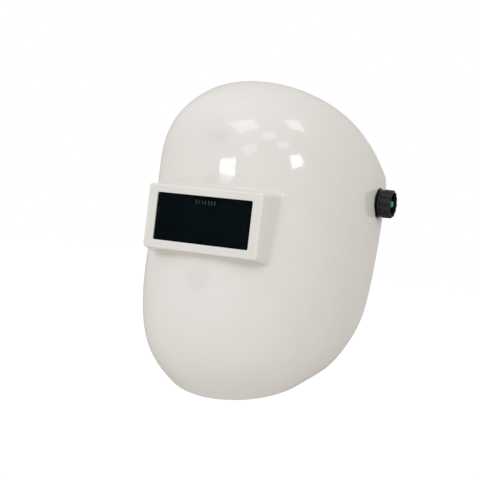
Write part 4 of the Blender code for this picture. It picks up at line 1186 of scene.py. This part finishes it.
def nape_pad_piece():
    front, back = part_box("nape_pad")[0].y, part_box("nape_pad")[1].y
    edge = 1.6 * MM
    profile = [(front + 1.0 * MM, -2.4 * MM), (front + 1.3 * MM, -1.2 * MM),
               (front + 1.0 * MM + edge, -0.4 * MM),
               (back - edge, -0.3 * MM), (back - 0.6 * MM, -0.7 * MM), (back - 0.4 * MM, -1.6 * MM)]
    build = Builder()
    build.loft([pad_ring(grow, y) for y, grow in profile], caps=True)
    item = add_mesh("nape_cushion", build, "rear_unit", "foam", 180.0)
    swollen(item, 1.3 * MM, 1.2 * MM, lambda places: pad_lines(places) > SEWN_SHARE)
    places = vertex_places(item.data)
    headside = smooth_step((front + 3.6 * MM - places[:, 1]) / (1.6 * MM))
    places[:, 1] += 0.8 * MM * pad_lines(places) * headside
    places[:, 1] = np.minimum(places[:, 1], back)
    set_places(item.data, places)
    item.data.shade_smooth()
    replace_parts(item, "nape_pad")

    tree = BVHTree.FromObject(item, bpy.context.evaluated_depsgraph_get())
    ring = pad_outline(-PAD_BORDER, 2.0 * MM)
    rows = [np.vstack([ring, ring[:1]])]
    heights = np.linspace(-1.0, 1.0, 17) * (PAD_HALF[1] - PAD_BORDER - 1.0 * MM) + RATCHET_LEVEL
    rows += [np.column_stack([np.full(17, x), heights]) for x in PAD_CHANNELS]
    stitches = Builder()
    for row in rows:
        path = []
        for x, z in row:
            place, _, _, _ = tree.ray_cast(Vector((x, front - 20.0 * MM, z)), Vector((0.0, 1.0, 0.0)))
            path.append(place if place is not None else Vector((x, front, z)))
        stitch_row(stitches, np.array(path), np.tile((0.0, -1.0, 0.0), (len(path), 1)))
    add_mesh("nape_cushion_stitching", stitches, "rear_unit", "foam", 60.0, "thread")


sweatband_piece()
nape_pad_piece()

# ---------------------------------------------------------------- studio

# Soft boxes that the shell mirrors to the camera. Each row has the middle (x, z) of the lit patch on the
# front of the shell, its width and height, its rise from left to right and its lean from bottom to top, all
# in millimetres; how many lights share it, across and up; the spare beam in degrees; and the radiance.
GLINTS = {
    "key_left": ((12.0, 10.5), (15.0, 13.0), (1.0, 1.0), (7, 2), 1.4, 20.0),
    "key_left_low": ((11.5, -2.0), (12.5, 11.0), (0.5, 0.0), (7, 2), 2.2, 3.4),
    "key_right": ((70.5, 23.5), (8.0, 12.0), (4.0, -1.5), (1, 1), 4.0, 12.0),
    "panel_high": ((25.0, 50.5), (19.5, 10.0), (6.0, -4.0), (1, 1), 60.0, 2.5),
    "panel_far": ((63.0, 58.0), (10.0, 10.0), (2.0, -1.0), (1, 1), 60.0, 2.5),
    "panel_middle": ((47.5, 44.0), (10.5, 7.0), (3.5, -2.0), (1, 1), 60.0, 2.1),
    "panel_low": ((32.0, 29.5), (12.5, 7.0), (4.0, -1.5), (6, 2), 3.0, 2.7),
    "panel_low_far": ((59.5, 37.0), (9.0, 7.0), (2.5, 0.0), (1, 1), 60.0, 1.9),
}
GLINT_DISTANCE = 0.25
WIDEST_BEAM = math.radians(170.0)
GLINT_COLOUR = (0.94, 0.95, 1.0)
FLOOR_LEVEL = -0.30
FLOOR_REACH = 8.0
SKY_DIRECTION = Vector((-0.03, -0.80, 0.60)).normalized()
SKY_LOW = (0.47, 0.44, 0.39)
SKY_HIGH = (1.12, 1.12, 1.14)
# Black flag that the flat window mirrors to the camera: its direction, inner and outer edge, and tone
WINDOW_SIGHT = EYE - Vector((0.0, BOX_FACE, BOX_CENTRE))
FLAG_DIRECTION = Vector((-WINDOW_SIGHT.x, WINDOW_SIGHT.y, -WINDOW_SIGHT.z)).normalized()
FLAG_EDGES = (math.radians(3.6), math.radians(8.5))
FLAG_TONE = (0.03, 0.06, 0.09)


# The soft boxes light the shell alone, so the flat window mirrors only the flag
mirror_group = bpy.data.collections.new("mirror_group")
mirror_group.objects.link(helmet)


def add_light(name, place, axes, size, beam, radiance):
    """Soft box with the wanted radiance along its axis, whatever its beam angle."""
    data = bpy.data.lights.new(name, "AREA")
    data.shape = "RECTANGLE"
    data.color = GLINT_COLOUR
    data.size, data.size_y = size
    data.spread = beam
    half = beam / 2
    data.energy = radiance * (1.0 - half / math.tan(half)) * math.pi * size[0] * size[1]
    light = bpy.data.objects.new(name, data)
    light.matrix_world = Matrix.Translation(place) @ Matrix(axes).transposed().to_4x4()
    light.visible_camera = False
    light.visible_diffuse = False
    light.light_linking.receiver_collection = mirror_group
    scene.collection.objects.link(light)


def mirrored(tree, spot):
    """Place on the skin at a spot (x, z), and the direction that it mirrors to the camera."""
    y, normal = depth_at(tree, spot[0], spot[1])
    point, normal = Vector((spot[0], y, spot[1])), Vector(normal)
    sight = (EYE - point).normalized()
    return point, 2.0 * sight.dot(normal) * normal - sight


def add_patch(tree, name, spot, spare, radiance):
    """One soft box for the patch whose place at (u, v), each from -1 to 1, is spot(u, v)."""
    centre, axis = mirrored(tree, spot(0.0, 0.0))
    place = centre + axis * GLINT_DISTANCE
    hits, widest = [], 0.0
    for u, v in ((-1.0, 1.0), (1.0, 1.0), (1.0, -1.0), (-1.0, -1.0)):
        point, ray = mirrored(tree, spot(u, v))
        hits.append(point + ray * ((place - point).dot(axis) / ray.dot(axis)))
        widest = max(widest, ray.angle(axis))
    across = (hits[1] + hits[2] - hits[0] - hits[3]) / 2
    up = (hits[0] + hits[1] - hits[2] - hits[3]) / 2
    side = across.normalized()
    rise = axis.cross(side)
    size = (across.length, abs(up.dot(rise)))
    beam = min(2.0 * (widest + math.radians(spare)), WIDEST_BEAM)
    add_light(name, sum(hits, Vector()) / 4, (side, rise, axis), size, beam, radiance)


def add_glints(skin):
    tree = surface_tree(skin)
    for name, (middle, size, (rise, lean), cells, spare, radiance) in GLINTS.items():
        for i in range(cells[0]):
            for j in range(cells[1]):

                def spot(u, v):
                    right = (i + (1.0 + u) / 2) / cells[0] - 0.5
                    high = (j + (1.0 + v) / 2) / cells[1] - 0.5
                    return ((middle[0] + right * size[0] + high * lean) * MM,
                            (middle[1] + high * size[1] + right * rise) * MM)

                add_patch(tree, f"{name}_{i}_{j}", spot, spare, radiance)


def add_world():
    """Pale light that fades away from its direction, with the window's flag. The camera sees plain white."""
    world = bpy.data.worlds.new("studio")
    scene.world = world
    world.use_nodes = True
    tree = world.node_tree
    direction = tree.nodes.new("ShaderNodeTexCoord").outputs["Generated"]

    def nearness(towards, low, high):
        """Share from 0 to 1 as the cosine of the angle to a direction goes from low to high."""
        cosine = tree.nodes.new("ShaderNodeVectorMath")
        cosine.operation = "DOT_PRODUCT"
        cosine.inputs[1].default_value = towards
        tree.links.new(direction, cosine.inputs[0])
        share = tree.nodes.new("ShaderNodeMapRange")
        share.inputs["From Min"].default_value = low
        share.inputs["From Max"].default_value = high
        tree.links.new(cosine.outputs["Value"], share.inputs["Value"])
        return share.outputs["Result"]

    def blend(share, first, second):
        node = tree.nodes.new("ShaderNodeMix")
        node.data_type = "RGBA"
        tree.links.new(share, node.inputs[0])
        if isinstance(first, bpy.types.NodeSocket):
            tree.links.new(first, node.inputs[6])
        else:
            node.inputs[6].default_value = (*first, 1.0)
        node.inputs[7].default_value = (*second, 1.0)
        return node.outputs[2]

    tone = blend(nearness(SKY_DIRECTION, -1.0, 1.0), SKY_LOW, SKY_HIGH)
    dark = nearness(FLAG_DIRECTION, math.cos(FLAG_EDGES[1]), math.cos(FLAG_EDGES[0]))
    seen = tree.nodes.new("ShaderNodeLightPath").outputs["Is Camera Ray"]
    sky = blend(seen, blend(dark, tone, FLAG_TONE), (1.0, 1.0, 1.0))
    tree.links.new(sky, tree.nodes["Background"].inputs["Color"])


def add_floor():
    mesh = bpy.data.meshes.new("floor")
    corners = [(x * FLOOR_REACH, y * FLOOR_REACH, FLOOR_LEVEL)
               for x, y in ((-1, -1), (1, -1), (1, 1), (-1, 1))]
    mesh.from_pydata(corners, [], [(0, 1, 2, 3)])
    m = Nodes("floor_paper", (0.04, 0.04, 0.04), 0.9, Emission_Strength=0.98)
    m.shader.inputs["Emission Color"].default_value = (1.0, 1.0, 1.0, 1.0)
    m.colour(m.mix(m.noise(3.0), (0.03, 0.03, 0.03, 1.0), (0.05, 0.05, 0.05, 1.0)))
    mesh.materials.append(m.material)
    floor = bpy.data.objects.new("floor", mesh)
    scene.collection.objects.link(floor)
    floor.visible_diffuse = False
    floor.visible_glossy = False
    floor.visible_transmission = False


add_glints(SKIN)
add_world()
add_floor()
scene.view_settings.view_transform = "Standard"
